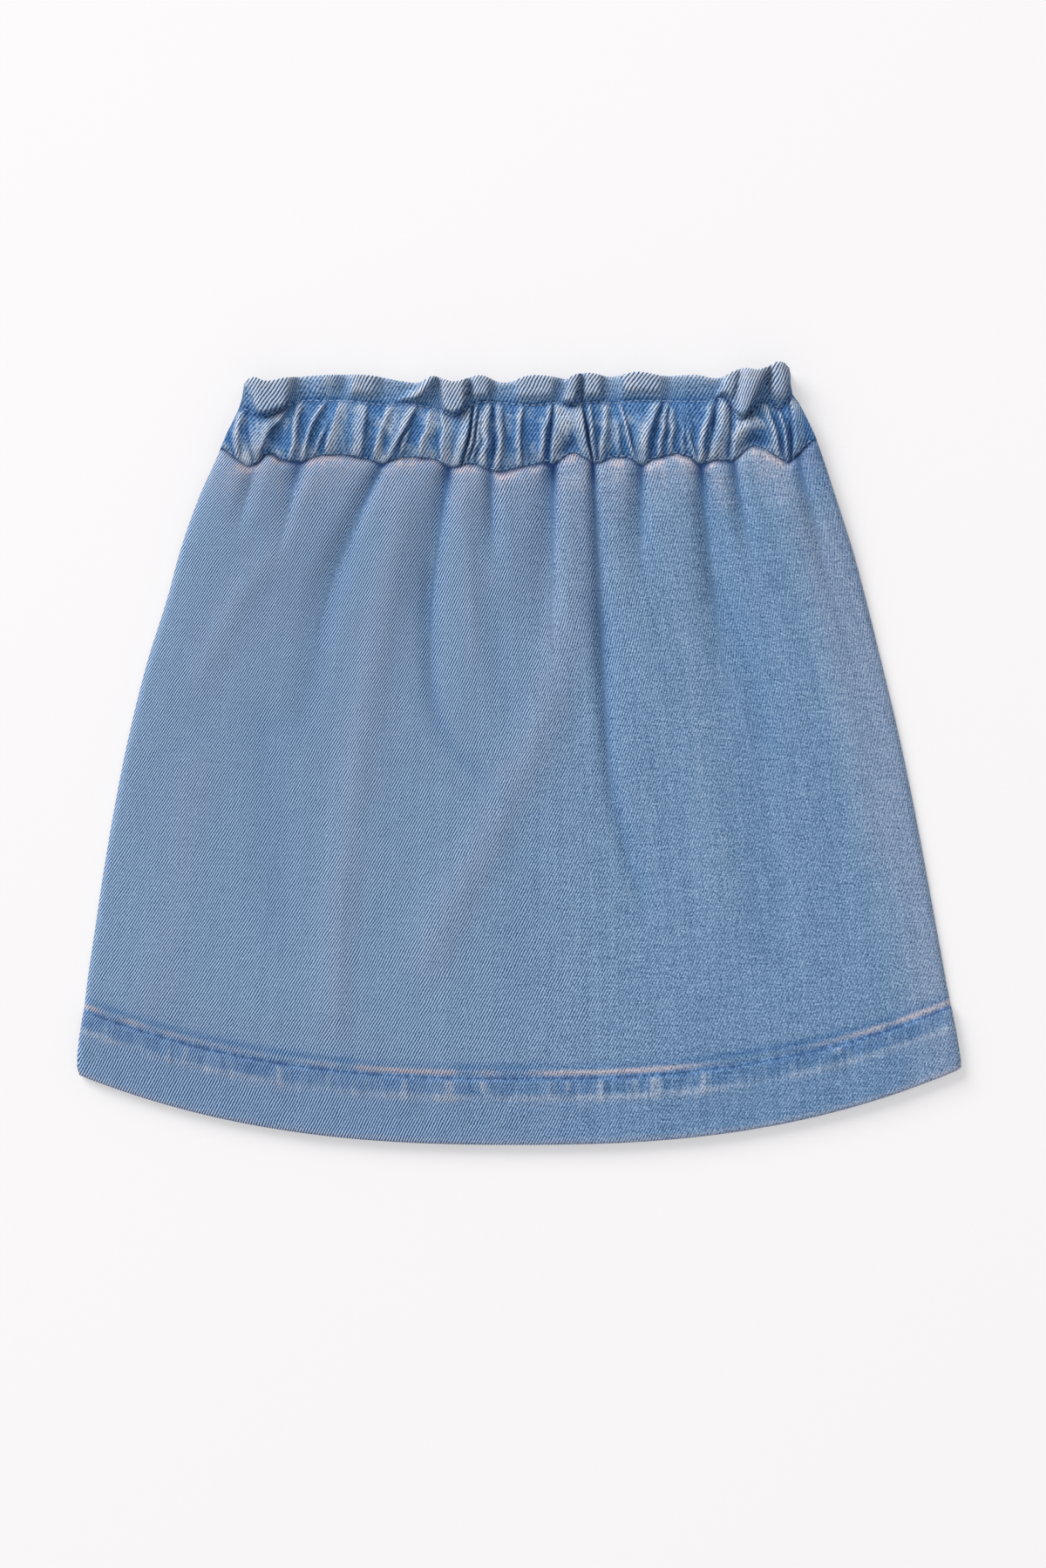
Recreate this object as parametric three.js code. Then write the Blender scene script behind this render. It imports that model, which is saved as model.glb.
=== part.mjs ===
import * as THREE from "three";

// A child's denim skirt with a gathered elastic waist, laid flat on its back panel.
// X runs across the skirt, Y from the hem up to the waist and Z up from the surface
// that it lies on. The origin is the bottom centre of the whole skirt. Millimetres.

// Levels along the skirt
const STITCH_Y = 131.7;
const SEAM_Y = 109.6;
const UPPER_Y = 60;
const MIDDLE_Y = 0;
const HEM_Y = -147.1;
const HEM_DEPTH = 25;

// Cloth and gaps: one layer, the turned-up hem, the doubled frill, the casing with its elastic
const DENIM = 1.2;
const HEM_WALL = 2.3;
const FRILL_WALL = 2;
const CASING_WALL = 2.4;
const GAP = 0.3;
const STEEPEST = 1.5;

// The front panel puffs out below the waist and lies nearly flat further down.
const PUFF_LOFT = 3.6;
const REST_LOFT = 0.5;
const LOFT_START = 10;
const LOFT_END = 150;
const TUCK_LENGTH = 9;
const TUCK_LOFT = 0.12;
const SIDE_REACH = 22;
const FOLD_SPREAD = 0.045;

// The bulky waist lifts both panels off the surface.
const BACK_LIFT = 1.6;
const BACK_REST_Y = 45;
const BACK_FOLD_Y = 60;
const BACK_INSET = 0.8;
const WAIST_RISE = 2.2;
const CASING_RISE = 2.85;
const CASING_STEP = 6;

// The gathers of the casing, outside and inside
const GATHER_HEIGHT = 2.6;
const GATHER_INSIDE = 1.6;
const CASING_CROWN = 0.4;
const CASING_END = 6;
const FRILL_END = 3;
const BACK_TUCK = 1.7;
const BACK_FRILL_WAVE = 1.4;
const BACK_FRILL_PITCH = 20;

// The waist seam dips at each pinch, arches over each puff and rises at the sides.
const SEAM_ARCH = 1.1;
const PINCH_HALF = 5;
const SEAM_SIDE_RISE = 3;
const SEAM_SIDE_START = 98;
const SEAM_SIDE_END = 113;

// Rise of the curved hem at each side, above its middle
const HEM_RISE_LEFT = 26.5;
const HEM_RISE_RIGHT = 28.5;
const HEM_CURVE = 2.5;
const HEM_HALF = 166;

// The outline: half widths to the left and right of the middle, at each level
const OUTLINE = [
  { y: 147, left: 101, right: 100.5 },
  { y: 141, left: 102.3, right: 101.8 },
  { y: 136, left: 103.3, right: 101.8 },
  { y: 130.7, left: 104.6, right: 105.3 },
  { y: 120, left: 109.6, right: 110.9 },
  { y: 109.6, left: 114.1, right: 114.8 },
  { y: 86.8, left: 123.7, right: 122.3 },
  { y: 60.5, left: 131.5, right: 129.9 },
  { y: 34.3, left: 139.7, right: 136.4 },
  { y: 8, left: 146.3, right: 142.7 },
  { y: -44.4, left: 156.1, right: 153.2 },
  { y: -96.9, left: 163.7, right: 162.7 },
  { y: -117, left: 166, right: 166 },
  { y: -121, left: 164.2, right: 165.6 },
];

// The panel's folds start at the pinches in the waist seam and fan out downwards:
// x at the seam, at the upper level, at the middle and at the hem; depth as a share of
// the loft; half width at the seam; length down the panel.
const FOLDS = [
  { seam: -98.7, upper: -112, middle: -124, hem: -134, depth: 0.6, half: 3.5, length: 35 },
  { seam: -82, upper: -94, middle: -104, hem: -112, depth: 0.7, half: 4, length: 45 },
  { seam: -50.8, upper: -72.5, middle: -84, hem: -90, depth: 0.95, half: 4.5, length: 105 },
  { seam: -24.9, upper: -34.8, middle: -32, hem: -38, depth: 1, half: 5, length: 125 },
  { seam: -10.8, upper: -12.2, middle: -14, hem: -15, depth: 0.6, half: 3, length: 60 },
  { seam: 12.5, upper: 9, middle: 8, hem: 10, depth: 0.9, half: 4, length: 65 },
  { seam: 27.9, upper: 30, middle: 33.5, hem: 44, depth: 1, half: 3.4, length: 165 },
  { seam: 46.2, upper: 46, middle: 56, hem: 66, depth: 0.8, half: 3.6, length: 40 },
  { seam: 67.9, upper: 75.5, middle: 87, hem: 96, depth: 0.9, half: 4, length: 110 },
  { seam: 79.7, upper: 92, middle: 105, hem: 116, depth: 0.8, half: 3.4, length: 40 },
  { seam: 101.7, upper: 115, middle: 126, hem: 138, depth: 0.5, half: 4, length: 35 },
];

// The gathers of the elastic casing: x at the stitching above and at the seam below,
// and height as a share of the full gather.
const GATHERS = [
  { top: -103.6, foot: -104.9, height: 0.8 },
  { top: -91.5, foot: -98.4, height: 1 },
  { top: -83.4, foot: -87, height: 0.9 },
  { top: -73.4, foot: -81.1, height: 0.8 },
  { top: -66.6, foot: -72.5, height: 0.9 },
  { top: -57.4, foot: -60.2, height: 0.9 },
  { top: -48.5, foot: -54, height: 0.8 },
  { top: -39.4, foot: -48.4, height: 1 },
  { top: -35.6, foot: -42.5, height: 0.6 },
  { top: -32, foot: -35.4, height: 0.8 },
  { top: -27.6, foot: -28.8, height: 1 },
  { top: -17.4, foot: -21.3, height: 1 },
  { top: -12.1, foot: -14.4, height: 1 },
  { top: -7.6, foot: -8.3, height: 0.9 },
  { top: 1.3, foot: 0.7, height: 0.8 },
  { top: 12.1, foot: 8.9, height: 0.8 },
  { top: 16.6, foot: 14.4, height: 1 },
  { top: 23.2, foot: 23, height: 1 },
  { top: 27.9, foot: 27.6, height: 0.8 },
  { top: 32.5, foot: 31.8, height: 0.8 },
  { top: 38, foot: 41.6, height: 0.7 },
  { top: 52.2, foot: 47, height: 0.9 },
  { top: 56.8, foot: 53, height: 0.8 },
  { top: 62.6, foot: 61.7, height: 0.5 },
  { top: 71.8, foot: 68, height: 0.8 },
  { top: 77.1, foot: 73, height: 1 },
  { top: 83.4, foot: 81, height: 1 },
  { top: 92.5, foot: 95.2, height: 1 },
  { top: 97.3, foot: 99.8, height: 0.7 },
  { top: 101.8, foot: 105, height: 0.9 },
];

// The waves of the frill: x at the middle, half width, how far it stands forward, the level
// of its free edge, and how far it pulls the stitching below it down.
const FRILL_WAVES = [
  { x: -94.1, half: 8.2, lift: 6, top: 139.6, dip: 3 },
  { x: -71.2, half: 8, lift: 1.4, top: 141.8, dip: 0 },
  { x: -58, half: 6, lift: 3, top: 141.5, dip: 0 },
  { x: -37, half: 5, lift: 4, top: 141.2, dip: 1 },
  { x: -24.3, half: 5.2, lift: 6.5, top: 139.2, dip: 3 },
  { x: -13.8, half: 4.2, lift: 4, top: 141.2, dip: 0 },
  { x: 5.6, half: 8.8, lift: 3, top: 141.1, dip: 0 },
  { x: 20.3, half: 2.8, lift: 4.4, top: 141.2, dip: 0.5 },
  { x: 27.9, half: 3.8, lift: 4, top: 142.6, dip: 0 },
  { x: 44.9, half: 9.4, lift: 3.2, top: 142.8, dip: 0 },
  { x: 66.6, half: 8, lift: 0.9, top: 141.9, dip: 0 },
  { x: 78.7, half: 3.6, lift: 3, top: 143.6, dip: 0 },
  { x: 88, half: 4.6, lift: 7, top: 144.2, dip: 3 },
  { x: 97.6, half: 4, lift: 4.5, top: 146.9, dip: 0 },
];

// Where the columns stand between two folds, and the rows down each stretch of cloth
const FRONT_COLUMNS = [0, 0.17, 0.38, 0.62, 0.83];
const BACK_COLUMNS = [0, 0.25, 0.5, 0.75];
const FRONT_ROWS = [0, 0.012, 0.03, 0.055, 0.09, 0.135, 0.19, 0.26, 0.34, 0.44, 0.56, 0.7, 0.85, 0.993];
const BACK_ROWS = [0, 0.03, 0.08, 0.15, 0.25, 0.4, 0.6, 0.8, 0.993];
const HEM_ROWS = [0, 0.04, 0.5, 0.9, 1];
const CASING_ROWS = [0, 0.14, 0.38, 0.68, 0.9, 1];
const FRONT_FRILL_ROWS = [0.3, 0.65, 1];
const BACK_FRILL_ROWS = [0.5, 1];
const FRONT_STEPS = 4;
const BACK_STEPS = 2;
const END_COLUMN = 0.45;
const END_WAVE = 0.7;

const lerp = THREE.MathUtils.lerp;
const clamp = THREE.MathUtils.clamp;
const smoothstep = THREE.MathUtils.smoothstep;

// A smooth value between the rows of a table, by its named columns
function between(table, key, column, at) {
  const rising = table[0][key] < table[table.length - 1][key];
  const passed = table.filter((row) => (rising ? row[key] <= at : row[key] >= at)).length;
  const last = clamp(passed - 1, 0, table.length - 2);
  const row = (i) => table[clamp(i, 0, table.length - 1)];
  const slope = (i) => (row(i + 1)[column] - row(i - 1)[column]) / (row(i + 1)[key] - row(i - 1)[key]);
  const span = row(last + 1)[key] - row(last)[key];
  const rise = row(last + 1)[column] - row(last)[column];
  const u = clamp((at - row(last)[key]) / span, 0, 1);
  const bend = (slope(last) * span - rise) * (1 - u) - (slope(last + 1) * span - rise) * u;
  return row(last)[column] + rise * u + u * (1 - u) * bend;
}

const leftEdge = (y) => -between(OUTLINE, "y", "left", y);
const rightEdge = (y) => between(OUTLINE, "y", "right", y);

// The hem curves up towards both sides.
function hemY(x) {
  const rise = x < 0 ? HEM_RISE_LEFT : HEM_RISE_RIGHT;
  return HEM_Y + rise * Math.pow(Math.min(Math.abs(x) / HEM_HALF, 1), HEM_CURVE);
}

// A fold's line down the panel
function foldX(fold, y) {
  const line = [
    { y: SEAM_Y, x: fold.seam },
    { y: UPPER_Y, x: fold.upper },
    { y: MIDDLE_Y, x: fold.middle },
    { y: HEM_Y, x: fold.hem },
  ];
  return between(line, "y", "x", y);
}

const pulse = (offset, half) => Math.exp(-Math.pow(offset / half, 2));
const plateau = (offset, half) => Math.exp(-Math.pow(Math.abs(offset) / half, 3));

function backSeamY(x) {
  return SEAM_Y + SEAM_SIDE_RISE * smoothstep(Math.abs(x), SEAM_SIDE_START, SEAM_SIDE_END);
}

function seamY(x) {
  const pinch = Math.max(...FOLDS.map((fold) => pulse(x - fold.seam, PINCH_HALF)));
  return backSeamY(x) + SEAM_ARCH * (0.5 - pinch);
}

// How deep the folds are at a point: 0 on a puff, 1 in the deepest trough
function troughs(x, y) {
  const down = Math.max(SEAM_Y - y, 0);
  const depths = FOLDS.map((fold) => {
    const fade = 1 - smoothstep(down, fold.length / 4, fold.length);
    return fold.depth * fade * pulse(x - foldX(fold, y), fold.half + FOLD_SPREAD * down);
  });
  return Math.max(...depths);
}

// The two panels lie on each other along a middle level, which is higher over the hem band
// and near the bulky waist.
const wallAt = (x, y) => lerp(HEM_WALL, DENIM, smoothstep(y - hemY(x), HEM_DEPTH - 1, HEM_DEPTH + 1));
const waistLift = (y) => smoothstep(y, BACK_REST_Y, SEAM_Y - 2);

function middleZ(x, y) {
  const casing = smoothstep(y, SEAM_Y, SEAM_Y + CASING_STEP);
  return wallAt(x, y) + GAP / 2 + lerp(WAIST_RISE * waistLift(y), CASING_RISE, casing);
}

// Eases the cloth down to the side seams, within a reach of them
function sideEase(x, y, reach) {
  const room = Math.min(x - leftEdge(y), rightEdge(y) - x);
  const u = clamp(room / reach, 0, 1);
  return Math.sqrt(u * (2 - u));
}

// A wall is thicker, measured straight up, where it slopes.
function upright(height, x, y, wall) {
  const step = 0.4;
  const slopeX = (height(x + step, y) - height(x - step, y)) / (2 * step);
  const slopeY = (height(x, y + step) - height(x, y - step)) / (2 * step);
  return wall * Math.min(Math.hypot(1, slopeX, slopeY), STEEPEST);
}

function frontUnderside(x, y) {
  const down = seamY(x) - y;
  const loft = lerp(PUFF_LOFT, REST_LOFT, smoothstep(down, LOFT_START, LOFT_END));
  const tuck = lerp(TUCK_LOFT, 1, smoothstep(down, 0, TUCK_LENGTH));
  const hem = smoothstep(y - hemY(x), 2, 2 * HEM_DEPTH);
  const puff = (1 - troughs(x, y)) * sideEase(x, y, SIDE_REACH);
  return middleZ(x, y) + GAP / 2 + loft * tuck * hem * puff;
}

// The back panel has like folds, mirrored, and is flat on the surface below them.
function backUnderside(x, y) {
  const fold = lerp(0.35, 1, troughs(-x, y));
  return BACK_LIFT * waistLift(y) * fold * smoothstep(y, BACK_REST_Y, BACK_FOLD_Y);
}

// A closed wall between two sheets of points, rows by columns
function wallMesh(name, outer, inner, material) {
  const rows = outer.length;
  const columns = outer[0].length;
  const top = (i, j) => i * columns + j;
  const under = (i, j) => rows * columns + top(i, j);
  const faces = [];
  const quad = (a, b, c, d) => faces.push(a, b, c, a, c, d);
  for (let i = 0; i < rows - 1; i += 1) {
    for (let j = 0; j < columns - 1; j += 1) {
      quad(top(i, j), top(i + 1, j), top(i + 1, j + 1), top(i, j + 1));
      quad(under(i, j), under(i, j + 1), under(i + 1, j + 1), under(i + 1, j));
    }
  }
  const lastRow = rows - 1;
  const lastColumn = columns - 1;
  for (let j = 0; j < lastColumn; j += 1) {
    quad(top(0, j), top(0, j + 1), under(0, j + 1), under(0, j));
    quad(top(lastRow, j), under(lastRow, j), under(lastRow, j + 1), top(lastRow, j + 1));
  }
  for (let i = 0; i < lastRow; i += 1) {
    quad(top(i, 0), under(i, 0), under(i + 1, 0), top(i + 1, 0));
    quad(top(i, lastColumn), top(i + 1, lastColumn), under(i + 1, lastColumn), under(i, lastColumn));
  }
  const geometry = new THREE.BufferGeometry().setFromPoints([...outer.flat(), ...inner.flat()]);
  geometry.setIndex(faces);
  geometry.computeVertexNormals();
  const mesh = new THREE.Mesh(geometry, material);
  mesh.name = name;
  return mesh;
}

// Columns follow the folds down the panel, so that each fold keeps its own points.
function panelColumns(y, fractions, mirrored, inset) {
  const folds = mirrored ? [...FOLDS].reverse() : FOLDS;
  const sign = mirrored ? -1 : 1;
  const left = leftEdge(y) + inset;
  const right = rightEdge(y) - inset;
  const posts = [left, ...folds.map((fold) => sign * foldX(fold, y)), right];
  const columns = posts.slice(0, -1).flatMap((post, k) => fractions.map((u) => lerp(post, posts[k + 1], u)));
  return [...columns, right];
}

// Rows run from the waist seam to the hem stitching, then down the hem band.
function panelGrid(rows, fractions, mirrored, inset) {
  const columnsAt = (y) => panelColumns(y, fractions, mirrored, inset);
  const topY = mirrored ? backSeamY : seamY;
  const body = rows.map((f) => (x) => lerp(topY(x) - GAP, hemY(x) + HEM_DEPTH, f));
  const hem = HEM_ROWS.map((f) => (x) => hemY(x) + lerp(HEM_DEPTH, inset, f));
  return [...body, ...hem].map((rowY) =>
    columnsAt(rowY(0)).map((guess, j) => {
      const x = columnsAt(rowY(guess))[j];
      return new THREE.Vector2(x, rowY(x));
    }),
  );
}

const lifted = (grid, height) =>
  grid.map((row) => row.map((p) => new THREE.Vector3(p.x, p.y, height(p.x, p.y))));

function makePanel(name, grid, underside, material) {
  const upside = (x, y) => underside(x, y) + upright(underside, x, y, wallAt(x, y));
  return wallMesh(name, lifted(grid, upside), lifted(grid, underside), material);
}

function makeFrontPanel(material) {
  const grid = panelGrid(FRONT_ROWS, FRONT_COLUMNS, false, 0);
  return makePanel("front_panel", grid, frontUnderside, material);
}

function makeBackPanel(material) {
  const grid = panelGrid(BACK_ROWS, BACK_COLUMNS, true, BACK_INSET);
  return makePanel("back_panel", grid, backUnderside, material);
}

// The stitching above the casing, pulled down where a wave of the frill stands forward
function stitchY(x) {
  const dips = FRILL_WAVES.map((wave) => wave.dip * plateau(x - wave.x, wave.half));
  return STITCH_Y - Math.max(...dips);
}

const frillTopY = (x) => between(FRILL_WAVES, "x", "top", x);

function frillLift(x) {
  const lifts = FRILL_WAVES.map((wave) => wave.lift * plateau(x - wave.x, wave.half));
  return Math.max(...lifts);
}

// Columns stand on each gather, in the valleys between, and on the flanks where there is room.
function waistColumns(v, steps, mirrored) {
  const gathers = mirrored ? [...GATHERS].reverse() : GATHERS;
  const sign = mirrored ? -1 : 1;
  const crests = gathers.map((gather) => sign * lerp(gather.foot, gather.top, v));
  const heights = gathers.map((gather) => gather.height);
  const columns = crests.slice(0, -1).flatMap((crest, k) =>
    Array.from({ length: steps }, (_, i) => {
      const u = i / steps;
      const share = lerp(heights[k], heights[k + 1], u);
      return { x: lerp(crest, crests[k + 1], u), wave: share * (0.5 + 0.5 * Math.cos(2 * Math.PI * u)) };
    }),
  );
  const last = crests.length - 1;
  const y = lerp(SEAM_Y, STITCH_Y, v);
  const first = { x: leftEdge(y), wave: 0 };
  const start = { x: lerp(leftEdge(y), crests[0], END_COLUMN), wave: END_WAVE * heights[0] };
  const stop = { x: lerp(rightEdge(y), crests[last], END_COLUMN), wave: END_WAVE * heights[last] };
  const end = { x: rightEdge(y), wave: 0 };
  return [first, start, ...columns, { x: crests[last], wave: heights[last] }, stop, end];
}

const column3 = (x, y, outside, inside) => ({
  outer: new THREE.Vector3(x, y, outside),
  inner: new THREE.Vector3(x, y, inside),
});

// The elastic casing is crowned between its two lines of stitching.
const crown = (v) => Math.sqrt(Math.sin(Math.PI * clamp(v, 0, 1)));

function casingWall(v) {
  const lower = lerp(DENIM, CASING_WALL, smoothstep(v, 0, 0.2));
  return lerp(lower, FRILL_WALL, smoothstep(v, 0.8, 1));
}

function casingPoint(column, v) {
  const x = column.x;
  const y = lerp(seamY(x), stitchY(x), v);
  const base = middleZ(x, y) + GAP / 2;
  const full = crown(v) * sideEase(x, y, CASING_END);
  const inside = base + GATHER_INSIDE * column.wave * full;
  const outside = base + casingWall(v) + (CASING_CROWN + GATHER_HEIGHT * column.wave) * full;
  return column3(x, y, outside, inside);
}

// The frill narrows with the outline above the stitching.
function frillX(x, y) {
  return (x * (rightEdge(y) - leftEdge(y))) / (rightEdge(STITCH_Y) - leftEdge(STITCH_Y));
}

function frillPoint(column, v) {
  const y = lerp(stitchY(column.x), frillTopY(column.x), v);
  const x = clamp(frillX(column.x, y), leftEdge(y), rightEdge(y));
  const rise = smoothstep(v, -0.35, 1);
  const height = (px, py) => middleZ(px, py) + GAP / 2 + frillLift(px) * rise * sideEase(px, py, FRILL_END);
  const inside = height(x, y);
  return column3(x, y, inside + upright(height, x, y, FRILL_WALL), inside);
}

// The back waistband has the same make. Its gathers press on the surface below.
function backCasingPoint(column, v) {
  const x = column.x;
  const y = lerp(backSeamY(x), STITCH_Y, v);
  const below = BACK_TUCK * (1 - column.wave * crown(v));
  return column3(x, y, middleZ(x, y) - GAP / 2, below);
}

function backFrillPoint(column, v) {
  const y = lerp(STITCH_Y, frillTopY(column.x) - 1, v);
  const x = frillX(column.x, y);
  const wave = 0.5 + 0.5 * Math.cos((2 * Math.PI * x) / BACK_FRILL_PITCH);
  const below = lerp(BACK_TUCK, BACK_FRILL_WAVE * wave, v);
  return column3(x, y, below + FRILL_WALL, below);
}

function makeWaistband(name, steps, mirrored, frillRows, casingAt, frillAt, material) {
  const casing = CASING_ROWS.map((v) => waistColumns(v, steps, mirrored).map((column) => casingAt(column, v)));
  const frill = frillRows.map((v) => waistColumns(1, steps, mirrored).map((column) => frillAt(column, v)));
  const rows = [...casing, ...frill].reverse();
  const outer = rows.map((row) => row.map((point) => point.outer));
  const inner = rows.map((row) => row.map((point) => point.inner));
  return wallMesh(name, outer, inner, material);
}

const denim = (name, color) => {
  const material = new THREE.MeshStandardMaterial({ color, roughness: 0.92, metalness: 0 });
  material.name = name;
  return material;
};

const waistFront = denim("denim_waist_front", "#8098b8");
const waistBack = denim("denim_waist_back", "#6a84a6");

const group = new THREE.Group();
group.name = "denim_skirt";
group.add(
  makeFrontPanel(denim("denim_front", "#7c94b4")),
  makeBackPanel(denim("denim_back", "#6f88aa")),
  makeWaistband("waistband_front", FRONT_STEPS, false, FRONT_FRILL_ROWS, casingPoint, frillPoint, waistFront),
  makeWaistband("waistband_back", BACK_STEPS, true, BACK_FRILL_ROWS, backCasingPoint, backFrillPoint, waistBack),
);

export default group;
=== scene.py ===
# %% [markdown]
# # A child's denim skirt, laid flat
#
# The real skirt is four pieces of washed twill: a front and a back panel cut straight, and
# a doubled strip for each half of the waist. Elastic runs through the strip between two
# rows of stitching and draws the 33 cm of cloth in to 22 cm. It could be draped by a cloth
# simulation, but the folds in view are known one by one, so each sheet starts as a grid and
# its folds are placed in the skirt's own sizes. This first cell loads the solids
# that the sheets follow.

import math
from collections import namedtuple

import bmesh
import bpy
import numpy as np
from mathutils import Matrix, Vector
from mathutils.bvhtree import BVHTree


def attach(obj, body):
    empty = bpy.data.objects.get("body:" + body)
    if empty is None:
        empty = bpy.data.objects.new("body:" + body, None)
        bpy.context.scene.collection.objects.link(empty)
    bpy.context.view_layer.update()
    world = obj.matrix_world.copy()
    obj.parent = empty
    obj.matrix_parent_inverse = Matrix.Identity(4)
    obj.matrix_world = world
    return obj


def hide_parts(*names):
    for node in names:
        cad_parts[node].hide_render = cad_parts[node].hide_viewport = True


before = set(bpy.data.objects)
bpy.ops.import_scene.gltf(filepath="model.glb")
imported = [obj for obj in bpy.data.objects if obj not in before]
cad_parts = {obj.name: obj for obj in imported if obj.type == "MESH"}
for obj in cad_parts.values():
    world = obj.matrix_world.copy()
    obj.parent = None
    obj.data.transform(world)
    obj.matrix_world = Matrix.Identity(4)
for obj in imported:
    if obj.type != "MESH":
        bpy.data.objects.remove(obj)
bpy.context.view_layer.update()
MM = 0.001


def add_object(name, data):
    """Puts a mesh, a camera or a light into the scene."""
    made = bpy.data.objects.new(name, data)
    bpy.context.collection.objects.link(made)
    return made


def mesh_of(name, bm):
    mesh = bpy.data.meshes.new(name)
    bm.to_mesh(mesh)
    bm.free()
    return mesh


print("solids:", sorted(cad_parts))

# %% [markdown]
# ## The camera
#
# The skirt lies flat and was photographed from straight above. A long lens keeps the hem
# and the waist at one scale, as a product photograph does. The lens is worked out from the
# height of cloth and table that the picture takes in.

# %% Camera
VIEW_HEIGHT = 590.0
VIEW_CENTRE = (1.6, -11.5)
CAMERA_HEIGHT = 2400.0
SENSOR = 36.0

camera_data = bpy.data.cameras.new("camera")
camera_data.sensor_width = SENSOR
camera_data.lens = SENSOR * CAMERA_HEIGHT / VIEW_HEIGHT
camera = add_object("camera", camera_data)
camera.location = (VIEW_CENTRE[0] * MM, VIEW_CENTRE[1] * MM, CAMERA_HEIGHT * MM)
bpy.context.scene.camera = camera
print("lens", round(camera_data.lens), "mm")

# %% [markdown]
# ## Sizes of the skirt
#
# These are the levels and thicknesses that a maker would write on the pattern: where the
# waist seam and the two rows of stitching run, how deep the hem is, and how thick one layer
# and two layers of the denim are. Everything below is worked out from them.

# %% Driving sizes, in millimetres
STITCH_Y = 131.7
SEAM_Y = 109.6
UPPER_Y = 60.0
MIDDLE_Y = 0.0
HEM_Y = -147.1
HEM_DEPTH = 25.0
HEM_HALF = 166.0
HEM_RISE_LEFT = 26.5
HEM_RISE_RIGHT = 28.5
HEM_CURVE = 2.5
CUT_WIDTH = 332.0
PANEL_CUT_LENGTH = 278.0
STRIP_CUT_HEIGHT = 66.0

DENIM = 1.2
CLOTH = 0.7
STRIP_CLOTH = 0.5
HEM_WALL = 2.3
CASING_WALL = 2.2
GAP = 0.3
WAIST_RISE = 2.2
CASING_RISE = 2.85
EDGE_ROUND = 1.1
print("hem circumference", 2 * CUT_WIDTH, "mm")

# %% [markdown]
# ## Smooth values from short tables
#
# An outline or a fold line needs only a few listed points. A spline through them gives
# a smooth value everywhere between, for a whole grid of points at once. Value noise from a
# seeded table of random numbers gives the small unevenness that hand work has, and the same
# on every run.

# %% Helpers for smooth values
def curve(points):
    """A smooth function through a few (place, value) points."""
    places, values = np.array(points, dtype=float).T
    slopes = np.gradient(values, places)

    def at(x):
        x = np.clip(x, places[0], places[-1])
        i = np.clip(np.searchsorted(places, x, side="right") - 1, 0, len(places) - 2)
        span = places[i + 1] - places[i]
        rise = values[i + 1] - values[i]
        u = (x - places[i]) / span
        bend = (slopes[i] * span - rise) * (1 - u) - (slopes[i + 1] * span - rise) * u
        return values[i] + rise * u + u * (1 - u) * bend

    return at


def smoothstep(x, low, high):
    u = np.clip((x - low) / (high - low), 0, 1)
    return u * u * (3 - 2 * u)


def lerp(a, b, u):
    return a + (b - a) * u


def bell(offset, half, power=2.0):
    """1 at the middle, falling off over the half width; a high power gives steep sides."""
    return np.exp(-np.abs(offset / half) ** power)


def uneven(x, y, size, seed):
    """Smooth noise from -1 to 1 with lumps of the given size."""
    table = np.random.default_rng(seed).uniform(-1, 1, (97, 97))
    gx, gy = x / size + 500.3, y / size + 500.7
    ix, iy = np.floor(gx).astype(int), np.floor(gy).astype(int)
    fx, fy = smoothstep(gx - ix, 0, 1), smoothstep(gy - iy, 0, 1)
    corner = lambda i, j: table[(ix + i) % 97, (iy + j) % 97]
    near = lerp(corner(0, 0), corner(1, 0), fx)
    far = lerp(corner(0, 1), corner(1, 1), fx)
    return lerp(near, far, fy)


print("noise at the middle:", round(float(uneven(0.0, 0.0, 10.0, 1)), 3))

# %% [markdown]
# ## The outline
#
# Laid flat, the skirt's sides bow out from the waist to the hem because the gathered cloth
# fans open, and for the same reason the straight-cut hem turns into an arc. The frill above
# the elastic has an uneven top. Each line is a short table of given points.

# %% Outline
OUTLINE = [
    (-122, 163.2, 163.6), (-120.6, 164.6, 165), (-118.5, 165.6, 165.8), (-115, 165.9, 166),
    (-109, 165.4, 165.2), (-97, 163.6, 162.9), (-84, 162, 160.4), (-70.7, 160, 158),
    (-44.4, 156.1, 153.2), (-18, 151.6, 148.2), (8, 146.3, 142.7), (34.3, 139.7, 136.4),
    (60.5, 131.5, 129.9), (75, 127.6, 126), (86.8, 123.7, 122.3), (98, 119.4, 118.6),
    (109.6, 114.1, 114.8), (120, 109.6, 110.9), (130.7, 104.6, 105.3), (136, 103.3, 101.8),
    (141, 102.3, 101.8), (147, 101, 100.5),
]
SEAM_LINE = [
    (-114, 114.6), (-110.5, 113.4), (-105.9, 109.9), (-100.7, 107.6), (-98.2, 108.6),
    (-95.4, 111.6), (-88.6, 110), (-82, 109.2), (-77, 110.8), (-64, 111.4), (-57, 109.9),
    (-50.8, 108.4), (-46, 110), (-37.7, 110.5), (-31, 109.4), (-24.6, 107.1),
    (-18, 108.2), (-14, 107.2), (-10.8, 105.8), (1.6, 106.9), (10, 108.7), (12.5, 108.4),
    (19.7, 112.1), (26, 109.9), (27.9, 108.8), (35, 110.6), (41, 110.2), (46.2, 108.2),
    (52.2, 110.5), (64, 110.8), (67.9, 108.6), (73, 109.4), (78.2, 109.4), (80, 109.8),
    (87.6, 114.6), (96.8, 111.2), (101.7, 108.8), (104, 111.4), (110.9, 117), (115, 119),
]
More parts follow.
